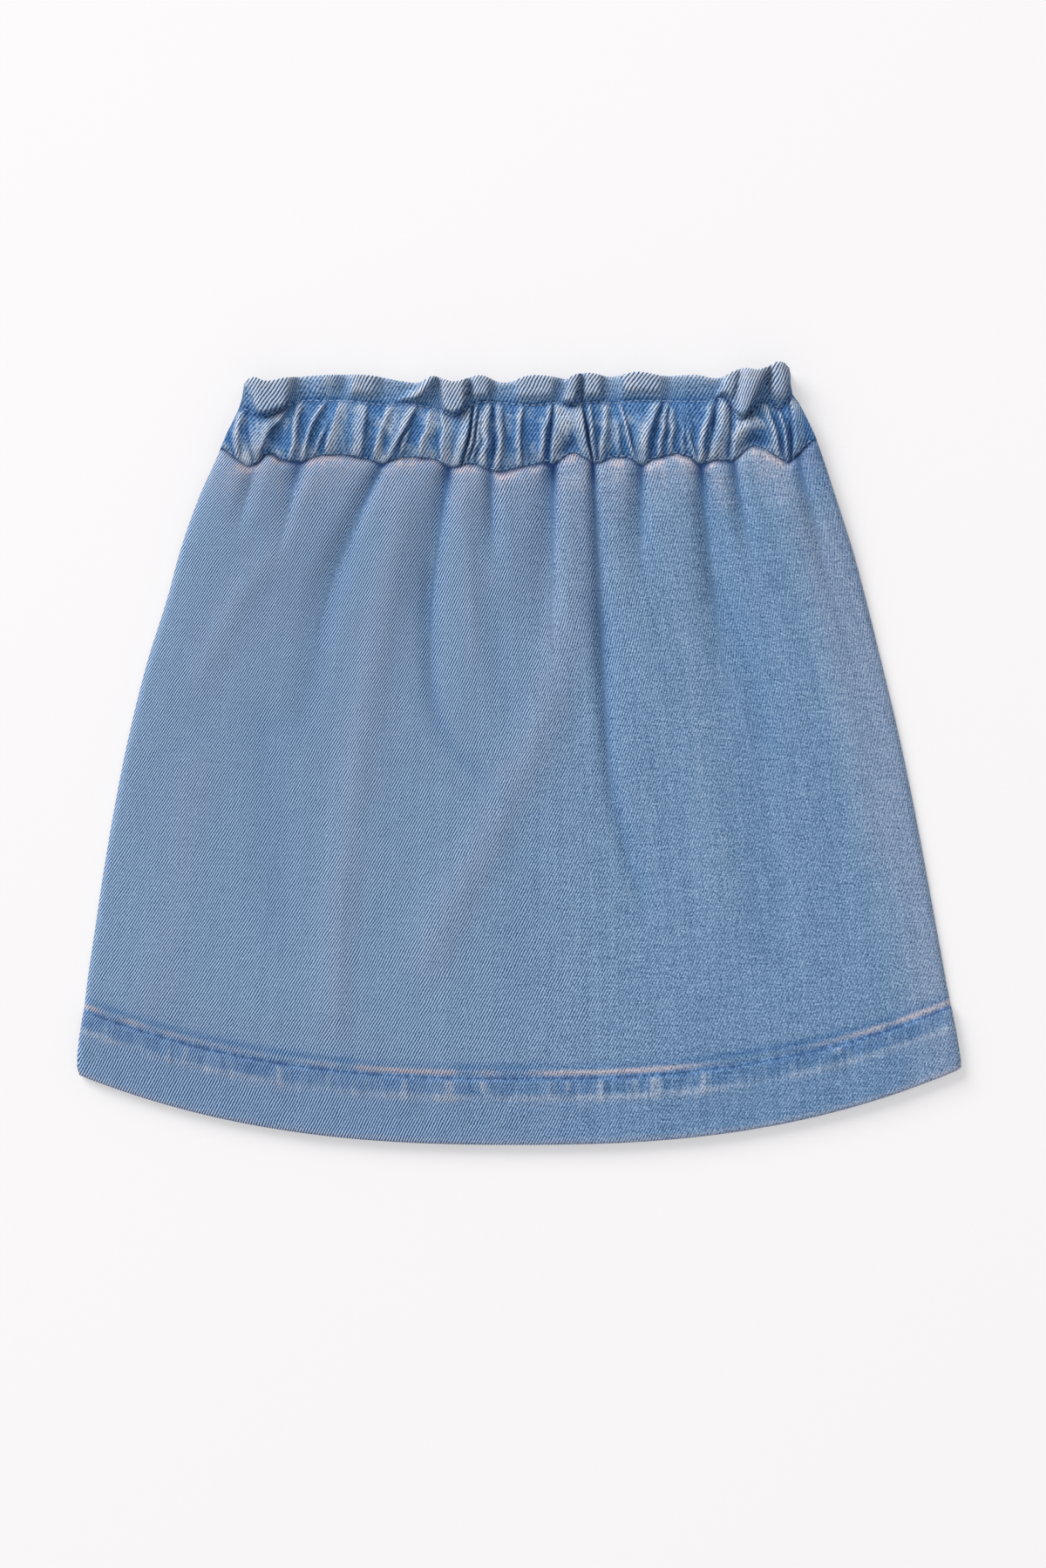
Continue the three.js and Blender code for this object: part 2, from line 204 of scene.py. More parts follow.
FRILL_TOP = [
    (-104, 138), (-101.5, 140.4), (-99.3, 141), (-95.6, 139.8), (-87, 140.9), (-73.8, 141.9),
    (-55, 141.7), (-44, 139.8), (-37, 139.3), (-32.8, 141.4), (-25, 139.4), (-13, 141.6),
    (-9.5, 140.2), (-6, 139.2), (-2.5, 139.6), (1.6, 141.2), (15.5, 140.9), (18, 140.5),
    (21, 142), (25.5, 142.7), (34.4, 141.4), (45, 143.1), (54, 141.7), (66, 142.1),
    (77, 141.4), (80.3, 143.2), (84, 144.4), (89.5, 143.8), (93, 144.8), (96.8, 146.8),
    (100, 146.2), (102, 144.3),
]

left_edge = curve([(y, -left) for y, left, _ in OUTLINE])
right_edge = curve([(y, right) for y, _, right in OUTLINE])
seam_course = curve(SEAM_LINE)
frill_top_y = curve(FRILL_TOP)


def seam_y(x):
    """The waist seam, with the small jogs that its puckers give it."""
    return seam_course(x) + 0.35 * uneven(x, 0 * x, 2.4, 71)


def hem_y(x):
    rise = np.where(x < 0, HEM_RISE_LEFT, HEM_RISE_RIGHT)
    return HEM_Y + rise * np.minimum(np.abs(x) / HEM_HALF, 1) ** HEM_CURVE


def side_room(x, y):
    """How far a point is from the nearer side edge."""
    return np.minimum(x - left_edge(y), right_edge(y) - x)


def quarter_round(u):
    """Steep at 0, level from 1 on."""
    u = np.clip(u, 0, 1)
    return np.sqrt(u * (2 - u))


def side_ease(x, y, reach):
    return quarter_round(side_room(x, y) / reach)


print("waist", round(float(right_edge(SEAM_Y) - left_edge(SEAM_Y))), "mm, hem", CUT_WIDTH, "mm")

# %% [markdown]
# ## The folds of the panels
#
# Where the elastic pinches the seam, a trough starts and runs down the panel. Some die out
# in a hand's width and two or three run almost to the hem. A fold is a line through four
# levels with a width on each side, so that one flank may be steeper than the other. Softer
# ridges and hollows lie over them, each along a few points down the panel.

# %% Fold tables
Fold = namedtuple("Fold", "seam upper middle hem depth left right spread_left spread_right length")
Swell = namedtuple("Swell", "line half height")

FOLDS = [Fold(*row) for row in [
    (-98.7, -112, -124, -134, 0.45, 3, 3, 5, 3, 32),
    (-82, -94, -104, -112, 0.7, 5, 3, 5, 3, 46),
    (-50.8, -72, -84, -90, 0.75, 4, 2.2, 7, 6, 95),
    (-25.8, -32.5, -33.5, -38, 0.88, 4.6, 2.4, 8, 7, 115),
    (-10.6, -9.4, -10, -11, 0.7, 2.6, 2, 4, 6, 48),
    (13.4, 12.6, 11, 11, 0.95, 5.5, 1.8, 7, 3, 95),
    (27.9, 30.4, 34, 43, 0.95, 2, 1.5, 1, 6, 150),
    (46, 46.6, 55, 64, 0.8, 4, 2.2, 5, 5, 50),
    (68.2, 73.2, 82, 92, 0.9, 3, 3, 2.5, 10, 120),
    (80.6, 90, 103, 115, 0.75, 3, 2, 4, 4, 44),
    (105, 117.5, 128, 140, 0.6, 3, 3.4, 3, 6, 60),
]]
SWELLS = [Swell(*row) for row in [
    ([(104, -81), (92, -86), (76, -91), (58, -105), (30, -118)], 6, 0.9),
    ([(102, -42), (60, -49.5), (20, -57), (-39, -65.5), (-102, -70)], 6.5, 1.1),
    ([(105, -19), (92, -20), (70, -19), (40, -17)], 3.6, 0.8),
    ([(105, 21), (70, 18), (36, 15), (-16, -3), (-51, -22), (-80, -34)], 8.5, 1.15),
    ([(107, 36.7), (95, 37), (60, 40)], 5, 0.5),
    ([(104, 99), (76, 108), (40, 117), (-40, 134)], 6, 0.8),
    ([(100, 57), (60, 62), (10, 68), (-60, 78)], 7, 0.4),
    ([(70, -33.6), (40, -33.4), (18, -31.6), (2, -25), (-6, -18), (-12, -11)], 3.4, -1.2),
    ([(60, 29.6), (47, 30.9), (10, 33), (-16, 35.6), (-36, 41), (-56, 47)], 3, -1.3),
    ([(96, 113), (76, 122.5), (62, 127)], 2.4, -0.7),
    ([(66, 75), (42, 84), (18, 90), (-6, 95)], 5, -0.8),
    ([(84, -60), (60, -69), (30, -77), (8, -82)], 6, -0.8),
    ([(60, -12.4), (38, -8), (10, -2)], 5, -0.6),
    ([(20, -96), (-16, -93), (-70, -92)], 8, -0.6),
    ([(-10, 2), (-50, 4), (-100, 2)], 10, -0.5),
    ([(-10, 84), (-50, 92), (-90, 98)], 9, -0.4),
    ([(0, -122), (-50, -130), (-100, -138)], 8, 0.4),
]]


def fold_lines(sign):
    """Each fold's x as a function of the level. A sign of -1 mirrors it for the back panel."""
    return [
        curve([(HEM_Y, sign * f.hem), (MIDDLE_Y, sign * f.middle),
               (UPPER_Y, sign * f.upper), (SEAM_Y, sign * f.seam)])
        for f in FOLDS
    ]


def troughs(x, y, lines):
    """0 on a puff and 1 in the deepest trough, at each point."""
    down = np.maximum(SEAM_Y - y, 0)
    deepest = np.zeros_like(x)
    for fold, line in zip(FOLDS, lines):
        offset = x - line(y)
        spread = smoothstep(down, 0, 90)
        left, right = fold.left + fold.spread_left * spread, fold.right + fold.spread_right * spread
        half = np.where(offset < 0, left, right)
        fade = 1 - smoothstep(down, 0.35 * fold.length, fold.length)
        deepest = np.maximum(deepest, fold.depth * fade * bell(offset, half, 1.7))
    return deepest


def taken_in(fold, down):
    """How much of the fold's cloth is still hidden, a distance below the seam."""
    return fold.depth * (1 - smoothstep(down, 0, fold.length))


def fold_cores(x, y, lines):
    """1 along the bottom of each fold, where its hidden cloth goes in."""
    down = np.maximum(SEAM_Y - y, 0)
    return np.max([taken_in(f, down) * bell(x - line(y), 1.2) for f, line in zip(FOLDS, lines)], axis=0)


def swells(x, y):
    total = np.zeros_like(x)
    for swell in SWELLS:
        points = sorted(swell.line)
        low, high = points[0][0], points[-1][0]
        ends = smoothstep(y, low - 14, low + 14) * (1 - smoothstep(y, high - 10, high + 6))
        total += swell.height * ends * bell(x - curve(points)(y), swell.half)
    return total


front_lines = fold_lines(1)
back_lines = fold_lines(-1)
print(len(FOLDS), "folds and", len(SWELLS), "swells")

# %% [markdown]
# ## How high the cloth lies
#
# The two panels lie on each other. A middle level runs between them: low over the body,
# higher over the doubled hem, and highest towards the bulky elastic. The front panel puffs
# up from it just below the seam, and near each side it rolls down to the side seam.

# %% Heights of the panels
def wall_at(x, y):
    return lerp(HEM_WALL, DENIM, smoothstep(y - hem_y(x), HEM_DEPTH - 1, HEM_DEPTH + 1))


def middle_z(x, y):
    rise = WAIST_RISE * smoothstep(y, 45, SEAM_Y - 2)
    casing = smoothstep(y, SEAM_Y, SEAM_Y + 6)
    return wall_at(x, y) + GAP / 2 + lerp(rise, CASING_RISE, casing)


def front_top(x, y):
    down = np.maximum(seam_y(x) - y, 0)
    loft = lerp(3.6, 0.9, smoothstep(down, 10, 150))
    tuck = lerp(0.05, 1, quarter_round(down / 6))
    hem = smoothstep(y - hem_y(x), 2, 2 * HEM_DEPTH)
    puff = (1 - troughs(x, y, front_lines)) * side_ease(x, y, 22)
    soft = swells(x, y) * smoothstep(down, 0, 12) * side_ease(x, y, 22)
    return middle_z(x, y) + GAP / 2 + wall_at(x, y) + loft * tuck * hem * puff + soft


def back_underside(x, y):
    lift = 1.6 * smoothstep(y, 45, SEAM_Y - 2) * smoothstep(y, 45, 60)
    return lift * lerp(0.35, 1, troughs(x, y, back_lines))


middle = np.array([0.0])
print("front panel at its middle:", round(float(front_top(middle, middle)[0]), 2), "mm")

# %% [markdown]
# ## A sheet of cloth from a grid
#
# `bmesh.ops.create_grid` makes a flat square of quads. Each vertex knows its place in the
# square, so a function can send it to its place on the skirt. The same call stores two
# things that the material reads: a UV map in the cloth's own thread directions, and marks
# at each point: how worn it is, together with some painted highlight, and how much deeper
# blue and painted shade it has. A Solidify modifier then gives the sheet its thickness,
# away from its outer face.

# %% Sheet builder
def cloth_sheet(name, columns, rows, place, thickness, flip=False):
    """place(s, t) takes arrays from 0 to 1 and returns x, y, z, u, v in mm and named marks."""
    bm = bmesh.new()
    bmesh.ops.create_grid(bm, x_segments=columns, y_segments=rows, size=0.5)
    mesh = mesh_of(name, bm)
    flat = np.empty(3 * len(mesh.vertices), dtype=np.float32)
    mesh.vertices.foreach_get("co", flat)
    square = flat.reshape(-1, 3).astype(float) + 0.5
    x, y, z, u, v, marks = place(square[:, 0], square[:, 1])
    mesh.vertices.foreach_set("co", (np.stack([x, y, z], 1) * MM).astype(np.float32).ravel())
    corners = np.empty(len(mesh.loops), dtype=np.int32)
    mesh.loops.foreach_get("vertex_index", corners)
    layer = mesh.uv_layers.new(name="cloth")
    layer.data.foreach_set("uv", (np.stack([u, v], 1)[corners] * 0.1).astype(np.float32).ravel())
    for key, values in marks.items():
        mark = mesh.attributes.new(key, "FLOAT", "POINT")
        mark.data.foreach_set("value", np.clip(values, 0, 1).astype(np.float32))
    if flip:
        mesh.flip_normals()
    mesh.shade_smooth()
    piece = add_object(name, mesh)
    wall = piece.modifiers.new("thickness", "SOLIDIFY")
    wall.thickness = thickness * MM
    wall.offset = -1
    wall.use_even_offset = False
    print(name, len(mesh.vertices), "points")
    return piece


# %% [markdown]
# ## Thread directions
#
# The straight panel keeps its full width at the waist, so the spare cloth is hidden in the
# troughs. Along each row the thread count runs near its true scale over the puffs and jumps
# at the bottom of each trough, until both edges have counted the whole width. That fans the
# twill out towards the sides, as on the skirt.

# %% Cloth coordinates
STEPS_ACROSS = 900
FOLD_TAKES = 11.0
CORNER_Y = -110.0


def count_threads(levels, lines):
    """A table, level by level, of how much cloth lies between the middle and each place."""
    share = np.linspace(0, 1, STEPS_ACROSS)
    rows = []
    for level in levels:
        y = np.full(STEPS_ACROSS, max(level, CORNER_Y))
        x = lerp(left_edge(y), right_edge(y), share)
        step = x[1] - x[0]
        down = max(SEAM_Y - level, 0)
        hidden = np.zeros(STEPS_ACROSS)
        room = 0
        for fold, line in zip(FOLDS, lines):
            strength = taken_in(fold, down)
            hidden += strength * bell(x - line(y), 0.4)
            room += FOLD_TAKES * strength
        spare = max(CUT_WIDTH - (x[-1] - x[0]), 0)
        taken = min(0.9 * spare, room)
        weight = 1 + (spare - taken) / (x[-1] - x[0]) + hidden * taken / (hidden.sum() * step + 1e-9)
        count = np.cumsum(weight) * step
        rows.append(count - np.interp(0.0, x, count))
    return share, np.array(rows)


LEVELS = np.linspace(HEM_Y, SEAM_Y + 10, 60)
front_threads = count_threads(LEVELS, front_lines)
back_threads = count_threads(LEVELS, back_lines)


def cloth_u(x, y, threads):
    """Looks the thread count up at each point, smoothly between levels and places."""
    share, table = threads
    y = np.maximum(y, CORNER_Y)
    across = np.clip((x - left_edge(y)) / (right_edge(y) - left_edge(y)), 0, 1) * (len(share) - 1)
    level = np.clip((y - LEVELS[0]) / (LEVELS[1] - LEVELS[0]), 0, len(LEVELS) - 1.001)
    i, j = level.astype(int), np.minimum(across.astype(int), len(share) - 2)
    fi, fj = level - i, across - j
    low = lerp(table[i, j], table[i, j + 1], fj)
    high = lerp(table[i + 1, j], table[i + 1, j + 1], fj)
    return lerp(low, high, fi)


print("threads counted on", len(LEVELS), "levels")

# %% [markdown]
# ## The front panel
#
# A panel is one sheet: down from the seam, round the fold at the hem, and back up inside by
# the depth of the hem. A short table shares the grid's rows out along that path, close
# together where the cloth tucks in at the seam and where the hem is stitched. The stitches
# pull the doubled hem into short slanting ridges, and wear turns these into a pale ladder:
# a rail at the stitching, rungs, a fainter rail below, and a deeper blue between.

# %% Front panel
ROW_SHARES = [
    (0, 0), (0.15, 0.03), (0.26, 0.08), (0.52, 0.86), (0.6, 0.885), (0.76, 0.925),
    (0.84, 0.965), (0.88, 1), (0.93, 1), (1, 1),
]
TURN_START = 0.88
TURN_END = 0.93
SEAM_TAIL = 0.5


def panel_path(x_share, t, edge_round):
    """The x and y of a point, how far it is round the hem, and how far up inside."""
    body = np.interp(t, *np.array(ROW_SHARES).T)
    turn = np.clip((t - TURN_START) / (TURN_END - TURN_START), 0, 1)
    inside = np.clip((t - TURN_END) / (1 - TURN_END), 0, 1)
    x = lerp(left_edge(0.0), right_edge(0.0), x_share)
    for _ in range(4):
        y = lerp(seam_y(x) + SEAM_TAIL, hem_y(x) + edge_round, body) + inside * HEM_DEPTH
        x = lerp(left_edge(y), right_edge(y), x_share)
    return x, y, turn, inside


def hem_marks(x, y, u, seed):
    """Height and marks of the stitched hem: two worn rails with rungs between them, and painted shade
    in the stitch groove.
    """
    above = y - hem_y(x) - HEM_DEPTH
    below = -above
    ladder = smoothstep(below, 0.6, 1.8) * (1 - smoothstep(below, 7.5, 10))
    tail = 0.3 * smoothstep(below, 6, 9) * (1 - smoothstep(below, 12, 22))
    band = np.maximum(ladder, tail)
    rope = uneven(u, y * 0.2, 3.2, seed)
    rungs = smoothstep(rope, 0.4, 0.75)
    groove = bell(above, 1.0)
    height = 0.35 * rope * band - 0.5 * groove

    plain = bell(x + 100, 38, 4) + bell(x - 100, 30, 4)
    broken = smoothstep(uneven(u, 0 * y, 9.0, seed + 3), -0.7, 0.1) * (1 - 0.8 * plain)
    lower = smoothstep(uneven(u, 0 * y, 11.0, seed + 4), -0.5, 0.4)
    upper_rail = bell(above - 1.9, 1.05, 3) * broken
    lower_rail = bell(below - 7.4, 1.4) * (0.15 + 0.4 * lower) * (1 - 0.4 * smoothstep(x, 40, 90))
    turned_edge = 0.5 * bell(above + HEM_DEPTH - 0.6, 0.9)
    specks = 0.3 * bell(above - 0.2, 0.6) * smoothstep(uneven(u, 0 * y, 1.5, seed + 6), 0.2, 0.7)
    cloudy = 0.7 + 0.5 * uneven(u, y, 4.0, seed + 7)
    between = ladder * (1 - smoothstep(below, 5.4, 7)) * (1 - rungs) * cloudy
    # Painted shade darkens the stitch groove; the rest of this is the deeper blue of the doubled hem.
    shade = 0.65 * groove + 0.14 * smoothstep(below, 0, 1) + 0.38 * between
    shade += (0.3 + 0.3 * (1 - broken)) * bell(above - 4.2, 1.5)
    return height, {
        "wear_and_highlight": upper_rail + lower_rail + turned_edge + 0.65 * ladder * rungs + specks,
        "shade": shade,
        # Painted shade: dark knots along the stitch groove.
        "crease_shade": 0.7 * bell(above, 0.8) * smoothstep(uneven(u, 0 * y, 1.2, seed + 5), -0.4, 0.3),
        "rope": band,
    }


def fold_marks(x, y, lines, marks, seed):
    """Adds the marks of the folds: worn puffs below the seam, painted shade in the pinches between them
    and along the seam, and painted highlight and shade near the right side and on the swells.
    """
    down = np.maximum(seam_y(x) - y, 0)
    deep = troughs(x, y, lines)
    soft = swells(x, y) if lines is front_lines else 0 * x
    cores = np.clip(1.6 * fold_cores(x, y, lines), 0, 1)
    patches = smoothstep(uneven(x, y, 5.5, seed) + 0.7 * uneven(x, y, 1.7, seed + 1), -0.6, 0.9)
    crest = bell(down - 1.1, 1.7) * (0.1 + 0.95 * patches) * (1 - smoothstep(x, 100, 105))
    puff = 0.3 * bell(down, 13) * (0.6 + 0.8 * patches)
    # Painted highlight: lightens the cloth near the right edge, where it slopes away from the light.
    right_side_highlight = 0.2 * bell(right_edge(y) - x - 4, 13) * smoothstep(down, 10, 40)
    # Painted shade at the right side of the panel, just below the seam.
    right_shoulder_shade = 0.7 * bell(x - 114, 9) * bell(down, 14)
    # Painted shade along the seam, in uneven patches.
    seam_joint_shade = bell(down, 0.9) * (0.3 + 0.5 * smoothstep(uneven(x, 0 * y, 5.0, seed + 2), -0.3, 0.4))
    # Worn puffs, plus painted highlight near the right edge and on the ridges of the swells.
    marks["wear_and_highlight"] += (crest + puff) * (1 - deep) + right_side_highlight + 0.1 * np.maximum(soft, 0)
    # Troughs stay a deeper blue, partly dye that the wash missed and partly painted shade; the hollows
    # of the swells get painted shade.
    marks["shade"] += 0.6 * deep ** 2 * bell(down, 24) + 0.08 * deep + 0.22 * np.maximum(-soft, 0)
    # Painted shade: a thin dark line along the bottom of each fold, and at the right side below the
    # seam.
    marks["shade"] += 0.1 * cores + right_shoulder_shade
    # Painted shade in the deep pinches just below the seam and along the seam.
    marks["crease_shade"] += 1.2 * deep ** 2 * bell(down, 7) + seam_joint_shade
    marks["grain"] = smoothstep(90 - x, 0, 150) * (0.75 + 0.25 * smoothstep(y, -60, 100)) * (1 - cores)


def front_panel_place(s, t):
    x, y, turn, inside = panel_path(s, t, EDGE_ROUND)
    u = cloth_u(x, y, front_threads)
    bump, marks = hem_marks(x, y, u, 40)
    fold_marks(x, y, front_lines, marks, 8)
    z = front_top(x, y) + bump * (inside <= 0)
    z += 0.12 * uneven(x, y, 11.0, 5) + 0.05 * uneven(x, y, 5.0, 6)
    y = y - EDGE_ROUND * np.sin(math.pi * turn)
    z -= EDGE_ROUND * (1 - np.cos(math.pi * turn)) + 0.15 * smoothstep(inside, 0, 0.3)
    roll = 1 - np.clip(side_room(x, y) / 2.2, 0, 1)
    z -= 1.5 * roll * roll * (inside <= 0)
    return x, y, z, u, y - 2 * HEM_DEPTH * inside, marks


front_panel = cloth_sheet("front_cloth", 330, 140, front_panel_place, CLOTH, flip=True)

# %% [markdown]
# ## The back panel
#
# The hidden panel is cut and hemmed like the front one. It lies a little inside it, face
# down, so its puffs lift it from the table only near the waist, and the rest is flat. The
# same two functions give its marks, with other seeds and with the folds mirrored.

# %% Back panel
BACK_INSET = 0.8


def back_panel_place(s, t):
    x, y, turn, inside = panel_path(1 - s, t, EDGE_ROUND + BACK_INSET)
    x = x - np.sign(x) * BACK_INSET * smoothstep(np.abs(x), 60, 110)
    u = cloth_u(x, y, back_threads)
    bump, marks = hem_marks(x, y, u, 60)
    fold_marks(x, y, back_lines, marks, 18)
    z = back_underside(x, y) - 0.5 * np.minimum(bump, 0)
    z += 0.04 * (1 + uneven(x, y, 9.0, 15)) * smoothstep(y, 45, 60)
    y = y - EDGE_ROUND * np.sin(math.pi * turn)
    z += EDGE_ROUND * (1 - np.cos(math.pi * turn)) + 0.1 * smoothstep(inside, 0, 0.3)
    return x, y, z, u, y - 2 * HEM_DEPTH * inside, marks


back_panel = cloth_sheet("back_cloth", 180, 110, back_panel_place, CLOTH, flip=True)

# %% [markdown]
# ## The waistband's gathers and the frill's waves
#
# The elastic crowds the strip into narrow upright gathers. None is straight: each is a line
# through three levels, with its own width on each side, and some start only half way down.
# Above the stitching the gathers open into the waves of the frill, and a few of these stand
# far forward and hang over the stitching. Small pockets are pressed in between, and the
# cloth bulges where their depth is negative.

# %% Waistband tables
Gather = namedtuple("Gather", "top middle foot left right height reach")
Groove = namedtuple("Groove", "top middle foot half depth low high")
Wave = namedtuple("Wave", "foot top left right lift full sharp narrow")
Pocket = namedtuple("Pocket", "x above half_x half_y depth")

GATHERS = [Gather(*row) for row in [
    (-104.3, -106.1, -104.6, 1.2, 1.4, 2.2, 1), (-86.3, -94.5, -98.6, 5.5, 1, 2.9, 1),
    (-82, -84, -85.8, 1.1, 1.3, 2.5, 1), (-72.4, -78.4, -81.1, 1, 0.9, 2.4, 1),
    (-69.5, -73, -77.5, 0.8, 0.9, 1.7, 0.5), (-66.6, -69.7, -72.5, 0.8, 4.2, 2.3, 1),
    (-57.4, -58.7, -60.2, 3.2, 1, 2.5, 1), (-48.5, -52.6, -54.6, 0.8, 1.8, 2.4, 1),
    (-38.4, -43.6, -49.9, 2.2, 0.8, 2.8, 1), (-37.5, -41.2, -44.9, 0.9, 0.9, 1.6, 0.55),
    (-32.1, -35.1, -36.6, 1.1, 2.8, 2.2, 1), (-28.4, -28.2, -28.6, 0.9, 3.8, 2.4, 1),
    (-18.4, -19.6, -23.2, 2.8, 0.6, 2.9, 1), (-15.7, -17.2, -20.4, 0.8, 0.8, 2.1, 1),
    (-13.6, -15, -18.2, 0.8, 0.9, 1.9, 0.9), (-10.8, -12.1, -13, 1.8, 1.1, 2.7, 1),
    (-7.6, -6.8, -8.7, 1, 1.4, 2.7, 1), (1.3, 0.3, 0.7, 1.4, 0.8, 2.3, 1),
    (12.1, 9.8, 8.7, 1.3, 0.9, 2.2, 1), (14.1, 13.9, 12.6, 0.7, 4.6, 2.5, 1),
    (23.4, 24.8, 27, 2.8, 0.6, 2.7, 1), (26.1, 27.7, 28.6, 0.7, 1, 2.3, 1),
    (32.5, 32, 30.6, 0.9, 1.4, 2.4, 1), (35.5, 36.6, 38.4, 1, 1, 1.2, 0.7),
    (38, 40.5, 43.7, 0.9, 0.8, 2, 1), (53.1, 49, 46.9, 2.8, 0.9, 2.6, 1),
    (56.2, 54.2, 52.5, 0.9, 1, 2.2, 1), (57.8, 57.4, 56.5, 0.7, 1.2, 1.9, 0.9),
    (61.9, 61.8, 61.6, 0.7, 0.8, 1.5, 0.55), (62.6, 63.9, 66.2, 0.8, 0.9, 1.6, 0.55),
    (72.5, 69.9, 68.2, 1.4, 1, 2.4, 1), (77.1, 75.8, 72.4, 2.1, 2.4, 2.9, 1),
    (82.6, 81.6, 81, 1, 4.4, 2.6, 1), (92.5, 95.9, 97.8, 2.2, 0.8, 2.6, 1),
    (97.6, 99.6, 100.9, 0.7, 0.8, 2, 1), (102, 103.8, 103.4, 0.9, 3.4, 2.3, 1),
]]
GROOVES = [Groove(*row) for row in [
    (-101.8, -101.3, -98.9, 0.8, 1.3, 0, 1), (-17.2, -18.4, -21.8, 0.45, 1.6, 0, 1),
    (-14.2, -16.2, -19.2, 0.4, 1.4, 0.1, 0.8), (-10.2, -9.2, -10.6, 0.8, 1.2, 0, 1),
    (12.9, 11.8, 10.6, 0.5, 1.2, 0, 1), (23.8, 25.8, 27.9, 0.5, 2, 0, 1.4),
    (30, 30.4, 29.4, 0.7, 0.8, 0, 1), (54.4, 51.4, 48.8, 0.7, 1, 0, 1),
    (74.6, 72.6, 70.2, 0.7, 1.4, 0, 1), (79.7, 79.4, 78.2, 0.6, 1.6, 0, 1),
    (101.2, 102.2, 102.2, 0.6, 1.3, 0, 1),
]]
POCKETS = [Pocket(*row) for row in [
    (-108, 15, 1.4, 3.8, 1.3), (-91, 8.8, 3.4, 5.2, 1.6),
    (-23.8, 6.8, 1.8, 3.6, 0.4), (-15.6, 5.6, 1.5, 2, 0.9),
    (18.7, 3.6, 4, 2.2, 1.9), (66, 13, 4, 4.5, 0.5),
    (87.6, 3.2, 6.2, 1.9, 2), (-99.5, 13, 2.5, 6, -0.6),
    (-61, 10, 2.5, 6, -0.6), (-48, 14.5, 3, 6.5, -1),
    (19, 12.4, 4.2, 5, -1.2), (86.5, 9.2, 6.5, 2.6, -1.6),
]]
WAVES = [Wave(*row) for row in [
    (-92.6, -92.8, 9.2, 9, 5.4, 0.3, 8, 0.6), (-72, -71.2, 5, 4.5, 2.4, 0.9, 3, 1),
    (-60.5, -58.6, 4.2, 6.5, 3.4, 0.6, 4, 1), (-44.5, -32.6, 3.2, 2.2, 4.2, 0.6, 2.5, 1),
    (-24.4, -24.1, 5.3, 5.2, 6, 0.3, 7, 0.75), (-14.6, -13.8, 3.6, 3.8, 3.8, 0.5, 5, 0.85),
    (5.8, 6.3, 8.4, 8.4, 3.1, 0.5, 7, 0.8), (18.4, 20.9, 2.6, 2.4, 4.8, 0.4, 5, 1),
    (27.4, 28, 3.4, 3.6, 3.8, 0.5, 5, 1), (46.4, 46.2, 8.5, 8.8, 3.3, 0.6, 5, 0.9),
    (65, 66.6, 7, 7, 1.2, 1, 2, 1), (76.4, 80.4, 3.1, 3, 3.6, 0.5, 4, 1),
    (82.4, 88.8, 5.6, 6, 7.2, 0.25, 4, 0.42), (98, 97.8, 3.8, 3.6, 4.8, 0.5, 5, 0.8),
]]
print(len(GATHERS), "gathers,", len(WAVES), "waves of the frill")

# %% [markdown]
# ## The front waistband
#
# The strip is doubled, with its fold at the top of the frill. One grid follows it all the
# way: up the casing, on up the frill, over the fold and down the inside. Its columns lean
# with the gathers, so each crest runs along one line of points and stays crisp. Above the
# stitching the waves rise quickly, and the cloth of the tallest slides down a little, so
# that they hang over the casing.

# %% Front waistband
WAIST_PARTS = (0, 0.47, 0.79, 0.87, 1)
FRILL_FOLD = 0.75
CASING_HEIGHT = 22.0
INSIDE_HEIGHT = 30.0
STRIP_LEFT = -111.5
STRIP_RIGHT = 112.5
STITCH_LINE = [
    (-109.2, 127.6), (-102.3, 129.3), (-97.7, 126.6), (-91.8, 128), (-86.9, 130.2),
    (-83.6, 131.8), (-72, 132.3), (-65.6, 132.5), (-55.7, 131.3), (-49.2, 130.8),
    (-44.3, 131.3), (-37.7, 130.7), (-31.1, 129.2), (-27.9, 128.2), (-25, 127), (-21.3, 128.8),
    (-16.4, 131.4), (-5, 131.4), (5, 130.6), (14.8, 131.5), (18, 130.8), (23, 131.3),
    (29.5, 132), (34.4, 131.4), (44.3, 132.5), (54.1, 132.3), (72.1, 132.2), (78.5, 132.4),
    (81, 127.6), (83.8, 125.7), (86.8, 128), (91.8, 132), (95, 131), (98.4, 129.6),
    (101.6, 133.4), (108, 134),
]
stitch_y = curve(STITCH_LINE)


def three_levels(row, v):
    """x of a line through its foot, middle and top, v from 0 at the foot to 1 at the top."""
    foot, middle, top = (1 - v) * (1 - 2 * v), 4 * v * (1 - v), v * (2 * v - 1)
    return row.foot * foot + row.middle * middle + row.top * top


def leaning_x(share, v, left, right):
    """Spreads the columns so that they run along the gathers at every level."""
    middles = np.array([STRIP_LEFT] + [g.middle for g in GATHERS] + [STRIP_RIGHT])
    place = lerp(middles[0], middles[-1], share)
    inner = [np.clip(three_levels(g, v), left + 0.5, right - 0.5) for g in GATHERS]
    levels = [left] + inner + [right]
    x = np.zeros_like(share)
    for i in range(len(middles) - 1):
        here = (place >= middles[i]) & (place <= middles[i + 1])
        within = (place - middles[i]) / (middles[i + 1] - middles[i])
        x = np.where(here, lerp(levels[i], levels[i + 1], within), x)
    return x


def gather_height(x, v):
    highest = np.zeros_like(x)
    for g in GATHERS:
        offset = x - three_levels(g, v)
        half = np.where(offset < 0, g.left, g.right) * 1.15
        reach = 1 - smoothstep(v, g.reach - 0.15, g.reach + 0.1) if g.reach < 1 else 1
        power = np.where(half > 2.2, 1.5, 2.3)
        highest = np.maximum(highest, g.height * reach * bell(offset, half, power))
    return highest


